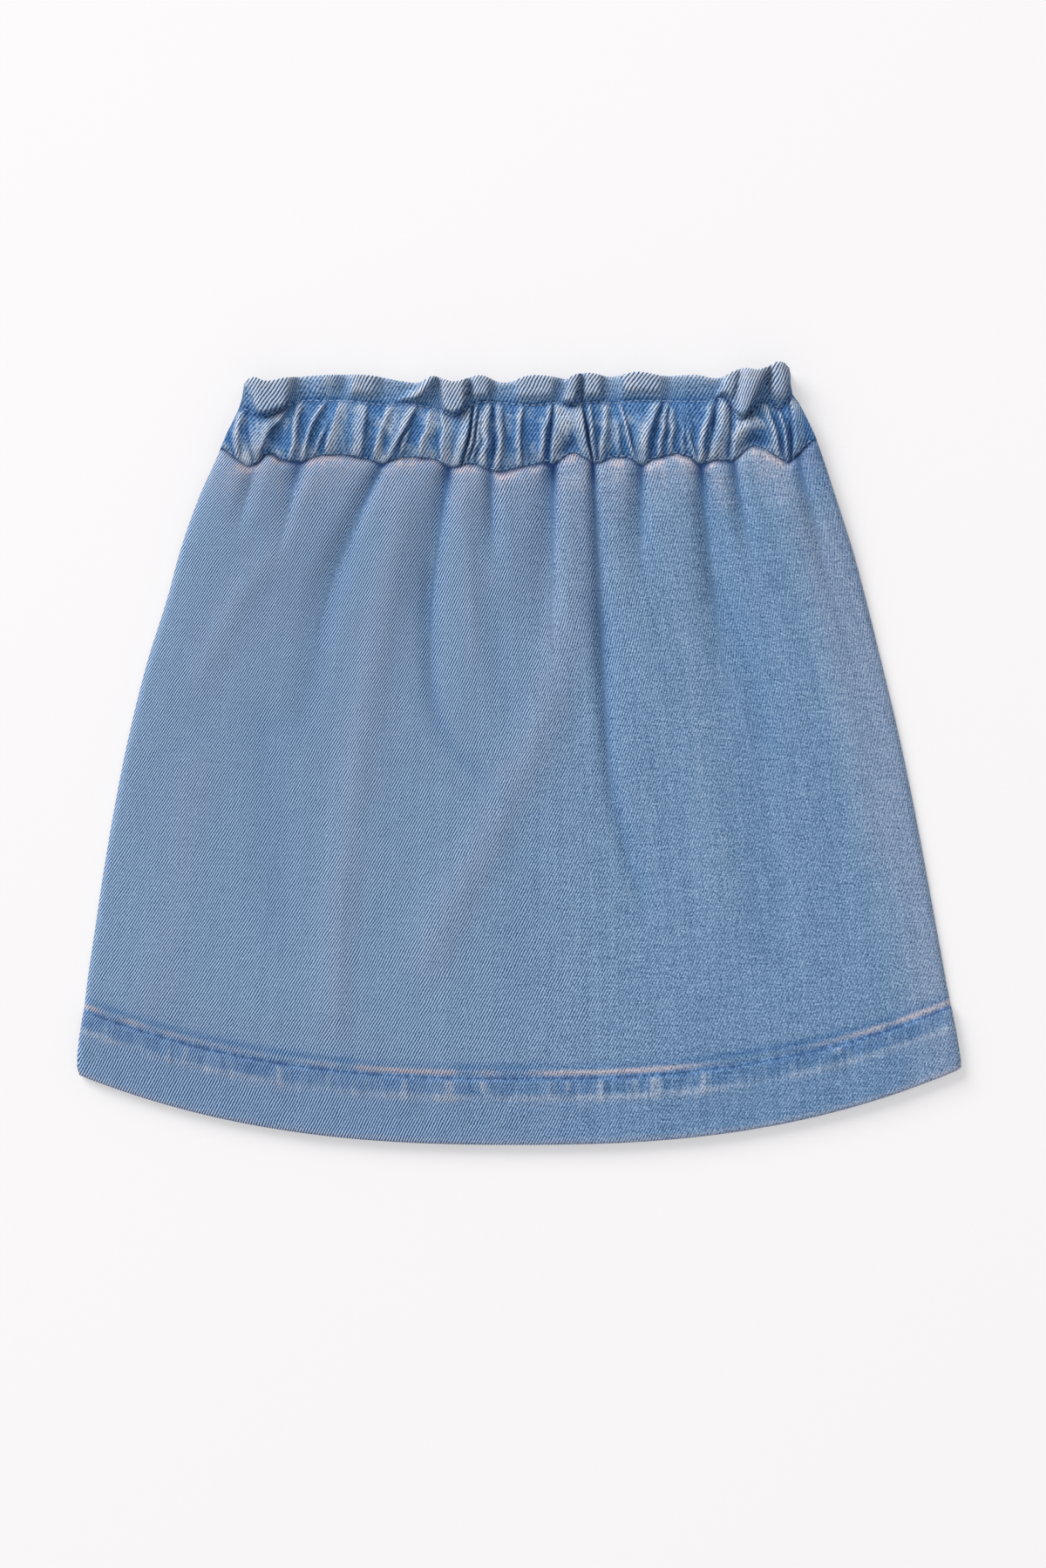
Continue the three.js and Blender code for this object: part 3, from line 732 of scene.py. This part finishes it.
def groove_depth(x, v):
    deepest = np.zeros_like(x)
    for g in GROOVES:
        span = smoothstep(v, g.low - 0.1, g.low + 0.05) * (1 - smoothstep(v, g.high, g.high + 0.2))
        offset = x - three_levels(g, np.minimum(v, 1))
        deepest = np.maximum(deepest, g.depth * span * bell(offset, g.half))
    return deepest


def pocket_depth(x, y):
    """Depth of the dents, negative where the cloth bulges forward."""
    depth = np.zeros_like(x)
    for p in POCKETS:
        reach = np.hypot((x - p.x) / p.half_x, (y - seam_y(x) - p.above) / p.half_y)
        depth += p.depth * bell(reach, 1, 3)
    return depth


def wave_lift(x, w):
    """How far the frill stands forward, w from 0 at the stitching to 1 at the fold."""
    highest = np.zeros_like(x)
    for wave in WAVES:
        offset = x - lerp(wave.foot, wave.top, w)
        half = np.where(offset < 0, wave.left, wave.right) * lerp(wave.narrow, 1, w)
        rise = smoothstep(w, -0.08, wave.full)
        highest = np.maximum(highest, wave.lift * rise * bell(offset, half, wave.sharp))
    return highest


def steepness(height, x, level, step):
    """How steeply a form falls to the right, for painted shadow on the side away from the light. A rise
    to the left counts for less, being lit.
    """
    fall = height(x - step, level) - height(x + step, level)
    return np.where(fall > 0, fall, -0.4 * fall)


def strip_path(s, t, mirror, line, top_inset):
    """Follows the doubled strip: place, how far up casing and frill, and 1 on the inside."""
    _, stitch, fold, over, _ = WAIST_PARTS
    inside = np.clip((t - over) / (1 - over), 0, 1)
    casing = np.clip(t / stitch, 0, 1)
    frill = np.clip((t - stitch) / (fold - stitch), 0, 1)
    turn = np.clip((t - fold) / (over - fold), 0, 1)
    up = frill * (1 - np.clip(inside / 0.3, 0, 1))
    v = casing * (1 - np.clip((inside - 0.3) / 0.7, 0, 1))
    x = lerp(left_edge(SEAM_Y), right_edge(SEAM_Y), s)
    for _ in range(3):
        y = lerp(seam_y(x), line(x), v) + up * (frill_top_y(x) - top_inset - line(x))
        left, right = left_edge(y), right_edge(y)
        x = leaning_x(s, v, left, right) if not mirror else -leaning_x(s, v, -right, -left)
    crown = np.sqrt(np.sin(math.pi * np.clip(v, 0.003, 0.997)))
    return x, y, v, up, turn, inside, crown


def strip_uv(s, x, y, inside):
    """The cloth's own measures: columns half drawn in with the gathers, and the way round."""
    return (x + lerp(STRIP_LEFT, STRIP_RIGHT, s)) / 2, y - INSIDE_HEIGHT * inside


def strip_marks(wear_and_highlight, shade, crease_shade, grain, inside):
    return {
        "wear_and_highlight": wear_and_highlight * (inside <= 0),
        "shade": shade,
        "crease_shade": crease_shade,
        "rope": 0 * shade,
        "grain": grain,
    }


def waist_place(s, t):
    x, y, v, up, turn, inside, crown = strip_path(s, t, False, stitch_y, FRILL_FOLD)
    twisted = x + 0.8 * uneven(x * 0.5, y, 5.0, 35) * v * (1 - v) * 4
    gathers = gather_height(twisted, v)
    grooves = groove_depth(x, v + up)
    pockets = pocket_depth(x, y)
    flat_part = (1 - smoothstep(gathers, 0.5, 1.4)) * (up <= 0)
    wrinkles = bell(uneven(x + 0.25 * y, y * 0.24, 3.4, 36), 0.2) * flat_part
    lift = wave_lift(x, up)
    ends = side_ease(x, y, 5)
    fine = 0.14 * uneven(x, y * 0.5, 2.6, 21)
    base = middle_z(x, y) + GAP / 2
    relief = (0.4 + gathers + 0.6 * wrinkles - pockets + fine) * crown - 0.7 * grooves * crown
    casing_z = base + CASING_WALL * lerp(0.35, 1, crown) + relief * ends
    frill_z = base + 1.0 + 0.6 * up + lift * side_ease(x, y, 2.5) - grooves * up
    frill_z += 0.15 * uneven(x, y, 3.4, 24) * up
    z = np.where(up > 0, frill_z, casing_z) - FRILL_FOLD * (1 - np.cos(math.pi * turn))
    lean = 0.5 * np.maximum(lift - 2, 0) * bell(up - 0.35, 0.3)
    y = y + FRILL_FOLD * np.sin(math.pi * turn) - lean * (inside <= 0)
    z = np.where(inside > 0.3, np.minimum(z, base + 0.4 * gathers * crown), z)

    crest = smoothstep(gathers, 1.0, 2.2) * smoothstep(crown, 0.2, 0.7)
    crest = crest * (0.6 + 0.4 * uneven(x, y * 0.6, 3.0, 26))
    flap = smoothstep(lift, 1.6, 3.2) * smoothstep(up, 0.1, 0.5)
    edge = smoothstep(up, 0.86, 1) * (0.6 + 0.5 * uneven(x, y, 6.0, 25))
    # Valleys between the gathers stay a deeper blue, partly dye that the wash missed and partly painted
    # shade.
    valley_blue_and_shade = (1 - smoothstep(gathers, 0.3, 1.5)) * (1 - smoothstep(up, 0, 0.2))
    # Painted shade in the hollows between the waves of the frill.
    hollow_shade = (1 - smoothstep(lift, 0.2, 1.2)) * smoothstep(up, 0, 0.2) * (1 - 0.6 * up)
    # Painted shade along the sunk row of stitching.
    row = bell(y - stitch_y(x), 0.9)
    # Painted shadow on the sides of the gathers that face away from the light.
    flank_shadow = smoothstep(steepness(gather_height, x, v, 0.5), 0.6, 1.8) * crown * (up <= 0)
    # Painted shadow on the casing below the tallest waves, which hang over it.
    under = smoothstep(wave_lift(x, 0.4), 2.5, 4.5) * smoothstep(v, 0.86, 1) * (up <= 0)
    # Painted shadow on the sides of the waves that face away from the light.
    flap_side_shadow = steepness(wave_lift, x, up, 0.4)
    bulge = smoothstep(-pockets, 0.2, 1.2) * (up <= 0)
    mottle = smoothstep(uneven(x, y * 0.7, 3.2, 31) + 0.5 * uneven(x, y, 1.5, 32), 0.0, 0.9)
    mottle = mottle * (up <= 0)
    ridges = smoothstep(uneven(x, 0 * y, 3.4, 33), -0.2, 0.4) * (1 - 0.8 * smoothstep(x, -20, 20))
    foot = bell(v * CASING_HEIGHT - 3, 2.4) * ridges * (up <= 0)
    # Painted shade at the right end of the casing, which turns away from the light; the worn crests
    # fade there.
    shoulder_shade = smoothstep(x, 98, 104) * (1 - smoothstep(v, 0.6, 0.9))
    crest = crest * (1 - 0.8 * shoulder_shade)
    rubbed = smoothstep(uneven(x, y, 4.0, 28), 0.1, 0.7)
    wear_and_highlight = crest + (0.5 + 0.35 * rubbed) * flap + 0.6 * edge + 0.22 * up * up
    wear_and_highlight += 0.35 * mottle + 0.65 * foot + 0.55 * bulge + 0.4 * wrinkles * crown
    # Deeper blue in the valleys, partly dye and partly painted shade, and painted shade in the hollows
    # of the frill, along the stitching, at the right end, in the pockets and on the shadowed sides.
    shade = 0.95 * valley_blue_and_shade * (1 - 0.45 * mottle - 0.5 * foot) * (1 - 0.8 * bulge)
    shade += 0.72 * hollow_shade * (1 - 0.7 * up) + 0.5 * row
    shade += 0.4 * shoulder_shade + 0.4 * smoothstep(pockets, 0.2, 1) + 0.6 * flank_shadow
    # Painted shade in the grooves, the pockets, at the foot of the casing, along the stitching, on the
    # shadowed sides and below the hanging waves.
    crease_shade = 0.5 * smoothstep(grooves, 0.3, 1.2) + 0.25 * smoothstep(pockets, 0.6, 1.6)
    crease_shade += 0.35 * bell(v * CASING_HEIGHT, 1.2) * (up <= 0) + 0.3 * row
    crease_shade += 0.6 * smoothstep(flap_side_shadow, 0.4, 1.5) * (1 - 0.6 * up) + 0.3 * flank_shadow + 0.6 * under
    grain = 0.25 + 0.62 * np.maximum(crest, flap)
    return x, y, z, *strip_uv(s, x, y, inside), strip_marks(wear_and_highlight, shade, crease_shade, grain, inside)


waist_front = cloth_sheet("waist_front_cloth", 740, 64, waist_place, STRIP_CLOTH)

# %% [markdown]
# ## The back waistband
#
# The hidden half is made in the same way, with gathers and waves of the same kind in other
# places, because no two halves crowd alike. It is pressed on the table by the bulk above
# it, so its gathers are low and its outer face looks down.

# %% Back waistband
BACK_BULK = 2.7


def back_stitch_y(x):
    return STITCH_Y + 0 * x


def back_waist_place(s, t):
    x, y, v, up, turn, inside, crown = strip_path(s, t, True, back_stitch_y, 1.2 + FRILL_FOLD)
    gathers, lift = gather_height(-x, v), wave_lift(-x, up)
    casing_z = BACK_BULK * (1 - np.clip(gathers / 2.2, 0, 1) * crown)
    frill_z = BACK_BULK * (1 - np.clip(lift / 3, 0, 1))
    z = np.where(up > 0, frill_z, casing_z) + FRILL_FOLD * (1 - np.cos(math.pi * turn))
    y = y + FRILL_FOLD * np.sin(math.pi * turn)
    high = middle_z(x, y) - GAP / 2 - 1.8 * np.clip(gathers / 2.2, 0, 1) * crown
    z = np.where(inside > 0.3, np.maximum(z, high), z)
    wear_and_highlight = smoothstep(gathers, 0.9, 1.9) * crown + 0.6 * smoothstep(up, 0.86, 1)
    # Deeper blue in the valleys, partly dye and partly painted shade, and painted shade in the hollows
    # of the frill.
    shade = (1 - smoothstep(gathers, 0.3, 1.5)) * (1 - up)
    shade += 0.6 * (1 - smoothstep(lift, 0.3, 2)) * up
    # Painted shade along the foot of the casing, at the seam.
    crease_shade = 0.8 * bell(v * CASING_HEIGHT, 1.5) * (up <= 0)
    grain = 0 * x + 0.8
    return x, y, z, *strip_uv(s, x, y, inside), strip_marks(wear_and_highlight, shade, crease_shade, grain, inside)


waist_back = cloth_sheet("waist_back_cloth", 420, 50, back_waist_place, STRIP_CLOTH)

# %% [markdown]
# ## Washed denim
#
# Denim is a twill: blue warp threads float over pale weft threads in steps that line up as
# fine slanting ridges. A tiled picture of it would repeat, so the UV map gives a phase across
# the ridges, a sine of it makes them, and noise along them breaks them into single floats.
# Finer noise adds flecks, and slower noise gives slubs and the clouds of the wash. Worn
# places fade to a pinkish white, and painted highlight lightens the panel near its right
# edge and on the ridges of the swells. Folds stay a deeper blue, partly the dye that the
# wash never reached and partly painted shade, and creases, grooves, pinches and the cloth
# below the hanging waves are darkened with painted shade.

# %% Denim material
RIDGE_ANGLE = math.radians(62)
UV_UNIT = 10.0


def node(tree, kind, inputs=None, **settings):
    """Adds a shader node, sets its options and its inputs, and returns it."""
    made = tree.nodes.new(kind)
    for key, value in settings.items():
        setattr(made, key, value)
    for key, value in (inputs or {}).items():
        if isinstance(value, bpy.types.NodeSocket):
            tree.links.new(value, made.inputs[key])
        else:
            made.inputs[key].default_value = value
    return made


def maths(tree, operation, a, b=0.0, c=0.0):
    return node(tree, "ShaderNodeMath", {0: a, 1: b, 2: c}, operation=operation).outputs[0]


def along(tree, uv, direction):
    dot = node(tree, "ShaderNodeVectorMath", {0: uv, 1: direction}, operation="DOT_PRODUCT")
    return dot.outputs["Value"]


def noise(tree, vector, scale, detail=2.0, rough=0.5):
    inputs = {"Vector": vector, "Scale": scale, "Detail": detail, "Roughness": rough}
    return node(tree, "ShaderNodeTexNoise", inputs).outputs["Fac"]


def stretched(tree, uv, across, down):
    """The UV map scaled differently in its two thread directions."""
    scaled = node(tree, "ShaderNodeMapping", {"Vector": uv, "Scale": (across, down, 1)})
    return scaled.outputs["Vector"]


def mix(tree, factor, a, b, blend="MIX"):
    settings = {"data_type": "RGBA", "blend_type": blend}
    return node(tree, "ShaderNodeMix", {0: factor, 6: a, 7: b}, **settings).outputs[2]


def colour(r, g, b):
    """Display values from 11 to 255 as the linear colour that a shader wants."""
    return tuple(((c / 255 + 0.055) / 1.055) ** 2.4 for c in (r, g, b)) + (1,)


DARK = colour(40, 70, 112)
MIDDLE = colour(102, 136, 172)
PALE = colour(172, 197, 226)
WORN = colour(218, 204, 206)
WORN_WAIST = colour(205, 211, 221)
VALLEY_BLUE_AND_SHADE = colour(146, 192, 228)
CREASE_SHADE = colour(76, 114, 160)


def denim_material(name, pitch, worn_colour):
    material = bpy.data.materials.new(name)
    material.use_nodes = True
    tree = material.node_tree
    tree.nodes.clear()
    uv = node(tree, "ShaderNodeUVMap", uv_map="cloth").outputs["UV"]
    sine, cosine = math.sin(RIDGE_ANGLE), math.cos(RIDGE_ANGLE)
    across = along(tree, uv, (sine * UV_UNIT / pitch, -cosine * UV_UNIT / pitch, 0))
    down = along(tree, uv, (cosine * UV_UNIT, sine * UV_UNIT, 0))
    sway = noise(tree, uv, 0.9, 3.0)
    phase = maths(tree, "MULTIPLY_ADD", sway, 1.6, across)
    wave = maths(tree, "SINE", maths(tree, "MULTIPLY", phase, 2 * math.pi))
    floats = node(tree, "ShaderNodeCombineXYZ", {0: phase, 1: maths(tree, "MULTIPLY", down, 1.1)})
    broken = noise(tree, floats.outputs[0], 1.0, 2.0, 0.6)
    slub = noise(tree, stretched(tree, uv, 9.0, 0.7), 1.6)
    weft = noise(tree, stretched(tree, uv, 0.5, 7.0), 1.6)
    streak = noise(tree, stretched(tree, uv, 2.4, 0.1), 1.2, 3.0)
    fleck = noise(tree, uv, 15.0)
    grain, wear_and_highlight, shade, crease_shade, rope = (
        node(tree, "ShaderNodeAttribute", attribute_name=key).outputs["Fac"]
        for key in ("grain", "wear_and_highlight", "shade", "crease_shade", "rope")
    )
    depth = maths(tree, "MULTIPLY_ADD", grain, 0.8, 0.16)
    tone = maths(tree, "MULTIPLY_ADD", wave, depth, 0.5)
    for part, amount in ((broken, 0.95), (slub, 0.32), (weft, 0.4), (streak, 0.22), (fleck, 1.3)):
        tone = maths(tree, "MULTIPLY_ADD", maths(tree, "SUBTRACT", part, 0.5), amount, tone)
    ramp = node(tree, "ShaderNodeValToRGB", {"Fac": tone})
    ramp.color_ramp.elements[0].position = 0.02
    ramp.color_ramp.elements[0].color = DARK
    ramp.color_ramp.elements[1].position = 1.0
    ramp.color_ramp.elements[1].color = PALE
    ramp.color_ramp.elements.new(0.5).color = MIDDLE
    puckers = noise(tree, stretched(tree, uv, 5.5, 0.9), 1.0)
    folded = maths(tree, "MULTIPLY", rope, maths(tree, "MULTIPLY_ADD", puckers, 1.9, -1.0))
    # Worn places, with the painted highlight carried in the same mark, and the ridges of the hem's
    # puckers fade towards the worn colour.
    worn = maths(tree, "ADD", wear_and_highlight, maths(tree, "MAXIMUM", folded, 0.0))
    # Painted shade: the low parts of the hem's puckers join the marked creases.
    pressed = maths(tree, "MINIMUM", maths(tree, "MULTIPLY", folded, 0.6), 0.0)
    sunk = maths(tree, "SUBTRACT", crease_shade, pressed)
    threads = maths(tree, "MAXIMUM", maths(tree, "MULTIPLY", tone, 1.3), 0.0)
    threads = maths(tree, "MINIMUM", threads, 0.95)
    rubbed = maths(tree, "MULTIPLY", maths(tree, "MINIMUM", worn, 1.0), threads)
    worn_tint = mix(tree, rope, worn_colour, WORN_WAIST)
    look = mix(tree, rubbed, ramp.outputs["Color"], worn_tint)
    # Deeper blue: dye that the wash missed in the folds, together with painted shade in hollows and on
    # shadowed sides.
    look = mix(tree, maths(tree, "MINIMUM", shade, 0.9), look, VALLEY_BLUE_AND_SHADE, "MULTIPLY")
    # Painted shade: creases, grooves, pinches and the cloth below hanging waves turn darker.
    look = mix(tree, maths(tree, "MINIMUM", sunk, 0.95), look, CREASE_SHADE, "MULTIPLY")
    bump = node(tree, "ShaderNodeBump", {"Height": tone, "Strength": 0.6, "Distance": 0.00012})
    shader = node(tree, "ShaderNodeBsdfPrincipled", {
        "Base Color": look,
        "Normal": bump.outputs["Normal"],
        "Roughness": 0.9,
        "Specular IOR Level": 0.15,
        "Sheen Weight": 0.1,
        "Sheen Roughness": 0.5,
    })
    output = node(tree, "ShaderNodeOutputMaterial")
    tree.links.new(shader.outputs["BSDF"], output.inputs["Surface"])
    return material


panel_denim = denim_material("washed_denim", 0.95, WORN)
waist_denim = denim_material("gathered_denim", 1.1, WORN_WAIST)
for piece, material in ((front_panel, panel_denim), (back_panel, panel_denim),
                        (waist_front, waist_denim), (waist_back, waist_denim)):
    piece.data.materials.append(material)
print("materials:", panel_denim.name, waist_denim.name)

# %% [markdown]
# ## Stitches
#
# The thread shows as short dashes, each sunk at both ends. One small rounded bead, made once
# and copied by a matrix for every stitch, costs 80 faces each. Its height is read off the
# sheet that it is sewn through, so it follows every pucker. The hem's thread is darker than
# the waist's, so the shader asks on which half of the skirt a stitch lies.

# %% Stitch builder
STITCH_PITCH = 3.3
WAIST_PITCH = 2.6
LONGEST_STEP = 2.2 * STITCH_PITCH
THREAD = 0.42
HEM_THREAD = colour(56, 84, 120), colour(88, 118, 156)
WAIST_THREAD = colour(96, 132, 176), colour(176, 198, 224)
Row = namedtuple("Row", "name surface line left right pitch sink length thick")


def thread_material():
    material = bpy.data.materials.new("blue_thread")
    material.use_nodes = True
    tree = material.node_tree
    shader = tree.nodes["Principled BSDF"]
    place = node(tree, "ShaderNodeTexCoord").outputs["Object"]
    tint = noise(tree, place, 900.0, 1.0)
    shader.inputs["Roughness"].default_value = 0.7
    shader.inputs["Specular IOR Level"].default_value = 0.3
    height = node(tree, "ShaderNodeSeparateXYZ", {0: place}).outputs["Y"]
    waist = maths(tree, "GREATER_THAN", height, 0.0)
    dark = mix(tree, waist, HEM_THREAD[0], WAIST_THREAD[0])
    light = mix(tree, waist, HEM_THREAD[1], WAIST_THREAD[1])
    tree.links.new(mix(tree, tint, dark, light), shader.inputs["Base Color"])
    return material


def surface_of(piece, upward):
    """Returns a function that finds the point of a sheet's outer face at x and y."""
    bm = bmesh.new()
    bm.from_mesh(piece.data)
    tree = BVHTree.FromBMesh(bm)
    bm.free()

    def at(x, y):
        start = Vector((x * MM, y * MM, 0.05 if upward else -0.05))
        return tree.ray_cast(start, Vector((0, 0, -1 if upward else 1)))[0]

    return at


def stitch_places(row):
    """Places a stitch's length apart along the row's line y(x)."""
    xs = np.linspace(row.left, row.right, 1500)
    ys = row.line(xs)
    run = np.concatenate([[0], np.cumsum(np.hypot(np.diff(xs), np.diff(ys)))])
    marks = np.arange(0, run[-1], row.pitch)
    return list(zip(np.interp(marks, run, xs), np.interp(marks, run, ys)))


def sew(row):
    """One bead between each two neighbouring holes of a row."""
    places = stitch_places(row)
    bm = bmesh.new()
    count = 0
    for start, end in zip(places[:-1], places[1:]):
        a, b = row.surface(*start), row.surface(*end)
        if a is None or b is None or (b - a).length > LONGEST_STEP * MM:
            continue
        middle = (a + b) / 2 - Vector((0, 0, row.sink * MM))
        turn = (b - a).to_track_quat("X", "Z").to_matrix().to_4x4()
        size = Matrix.Diagonal((row.length / 2 * MM, row.thick / 2 * MM, row.thick / 2 * MM, 1))
        placed = Matrix.Translation(middle) @ turn @ size
        bmesh.ops.create_icosphere(bm, subdivisions=2, radius=1, matrix=placed)
        count += 1
    mesh = mesh_of(row.name, bm)
    mesh.shade_smooth()
    print(row.name, count, "stitches")
    return add_object(row.name, mesh)


thread = thread_material()
front_at = surface_of(front_panel, True)
back_at = surface_of(back_panel, False)
waist_at = surface_of(waist_front, True)
waist_back_at = surface_of(waist_back, False)

# %% [markdown]
# ## The rows of stitches
#
# Two rows hold the hem, one on each side of the skirt, two part the frill from the casing,
# and one shows just above the waist seam. Each runs along the line that its sheet was
# shaped with. A sink below nought lifts a stitch that would drown in the cloth.

# %% Rows of stitches
SEAM_MARGIN = 1.2


def hem_line(x):
    return hem_y(x) + HEM_DEPTH


def seam_line(x):
    return seam_y(x) + SEAM_MARGIN


ROWS = [
    Row("hem_stitches_front", front_at, hem_line, -163, 162.5, STITCH_PITCH, -0.05, 2.1, 0.75),
    Row("hem_stitches_back", back_at, hem_line, -162, 161.5, STITCH_PITCH, -0.18, 2.1, 0.7),
    Row("waist_stitches_front", waist_at, stitch_y, -103.5, 104, WAIST_PITCH, -0.05, 1.9, THREAD),
    Row("waist_stitches_back", waist_back_at, back_stitch_y, -103, 103, WAIST_PITCH, 0.02, 1.9, THREAD),
    Row("seam_stitches_front", waist_at, seam_line, -111, 111, WAIST_PITCH, 0.05, 1.7, THREAD),
]
for row in ROWS:
    stitches = sew(row)
    stitches.data.materials.append(thread)
    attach(stitches, "root")

# %% [markdown]
# ## Table and light
#
# The skirt was photographed on an even white ground with hardly a shadow. A table that glows
# faintly of itself gives that ground and keeps the shadows weak. One wide soft light stands
# on the left and the waist side, so a faint shade falls below the hem, on the right and
# beside each fold.

# %% Stage
TABLE = 3.0
TABLE_COLOUR = (0.531, 0.522, 0.527, 1)
GLOW_COLOUR = (1, 0.983, 0.991, 1)
GLOW = 0.4
WINDOW_PLACE = (-4.5, 4.85, 4.2)
WINDOW_SIZE = 4.4
WINDOW_POWER = 610
SKY = 0.54

bm = bmesh.new()
bmesh.ops.create_grid(bm, x_segments=1, y_segments=1, size=TABLE / 2)
table = add_object("table", mesh_of("table", bm))
pale = bpy.data.materials.new("pale_table")
pale.use_nodes = True
pale_shader = pale.node_tree.nodes["Principled BSDF"]
pale_shader.inputs["Base Color"].default_value = TABLE_COLOUR
pale_shader.inputs["Emission Color"].default_value = GLOW_COLOUR
pale_shader.inputs["Emission Strength"].default_value = GLOW
pale_shader.inputs["Roughness"].default_value = 0.9
table.data.materials.append(pale)

light_data = bpy.data.lights.new("window", "AREA")
light_data.size = WINDOW_SIZE
light_data.energy = WINDOW_POWER
light = add_object("window", light_data)
light.location = WINDOW_PLACE
light.rotation_euler = (-Vector(WINDOW_PLACE)).to_track_quat("-Z", "Y").to_euler()

world = bpy.data.worlds.new("studio")
bpy.context.scene.world = world
world.use_nodes = True
background = world.node_tree.nodes["Background"]
background.inputs["Color"].default_value = (1, 1, 1, 1)
background.inputs["Strength"].default_value = SKY
bpy.context.scene.view_settings.view_transform = "Standard"
print("light at", WINDOW_PLACE, "m")

# %% [markdown]
# ## What each piece stands for
#
# Every sheet takes the place of its solid and rides on the one body. Its row also gives
# what it was cut from, the panel with its hem allowance and the strip that folds double for
# the waist, and what it lies on: the lower sheets lie on the table.

# %% Ride and replace
Sheet = namedtuple("Sheet", "piece solid slot cut held rests_on")
PANEL_CUT = (CUT_WIDTH * MM, PANEL_CUT_LENGTH * MM)
STRIP_CUT = (CUT_WIDTH * MM, STRIP_CUT_HEIGHT * MM)

SHEETS = [
    Sheet(front_panel, "front_panel", "denim_panel", PANEL_CUT, "laid", "back_cloth"),
    Sheet(back_panel, "back_panel", "denim_panel", PANEL_CUT, "laid", "table"),
    Sheet(waist_front, "waistband_front", "denim_waistband", STRIP_CUT, "gathered", "waist_back_cloth"),
    Sheet(waist_back, "waistband_back", "denim_waistband", STRIP_CUT, "gathered", "table"),
]
for sheet in SHEETS:
    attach(sheet.piece, "root")
    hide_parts(sheet.solid)
    print(sheet.piece.name, "stands for", sheet.solid)
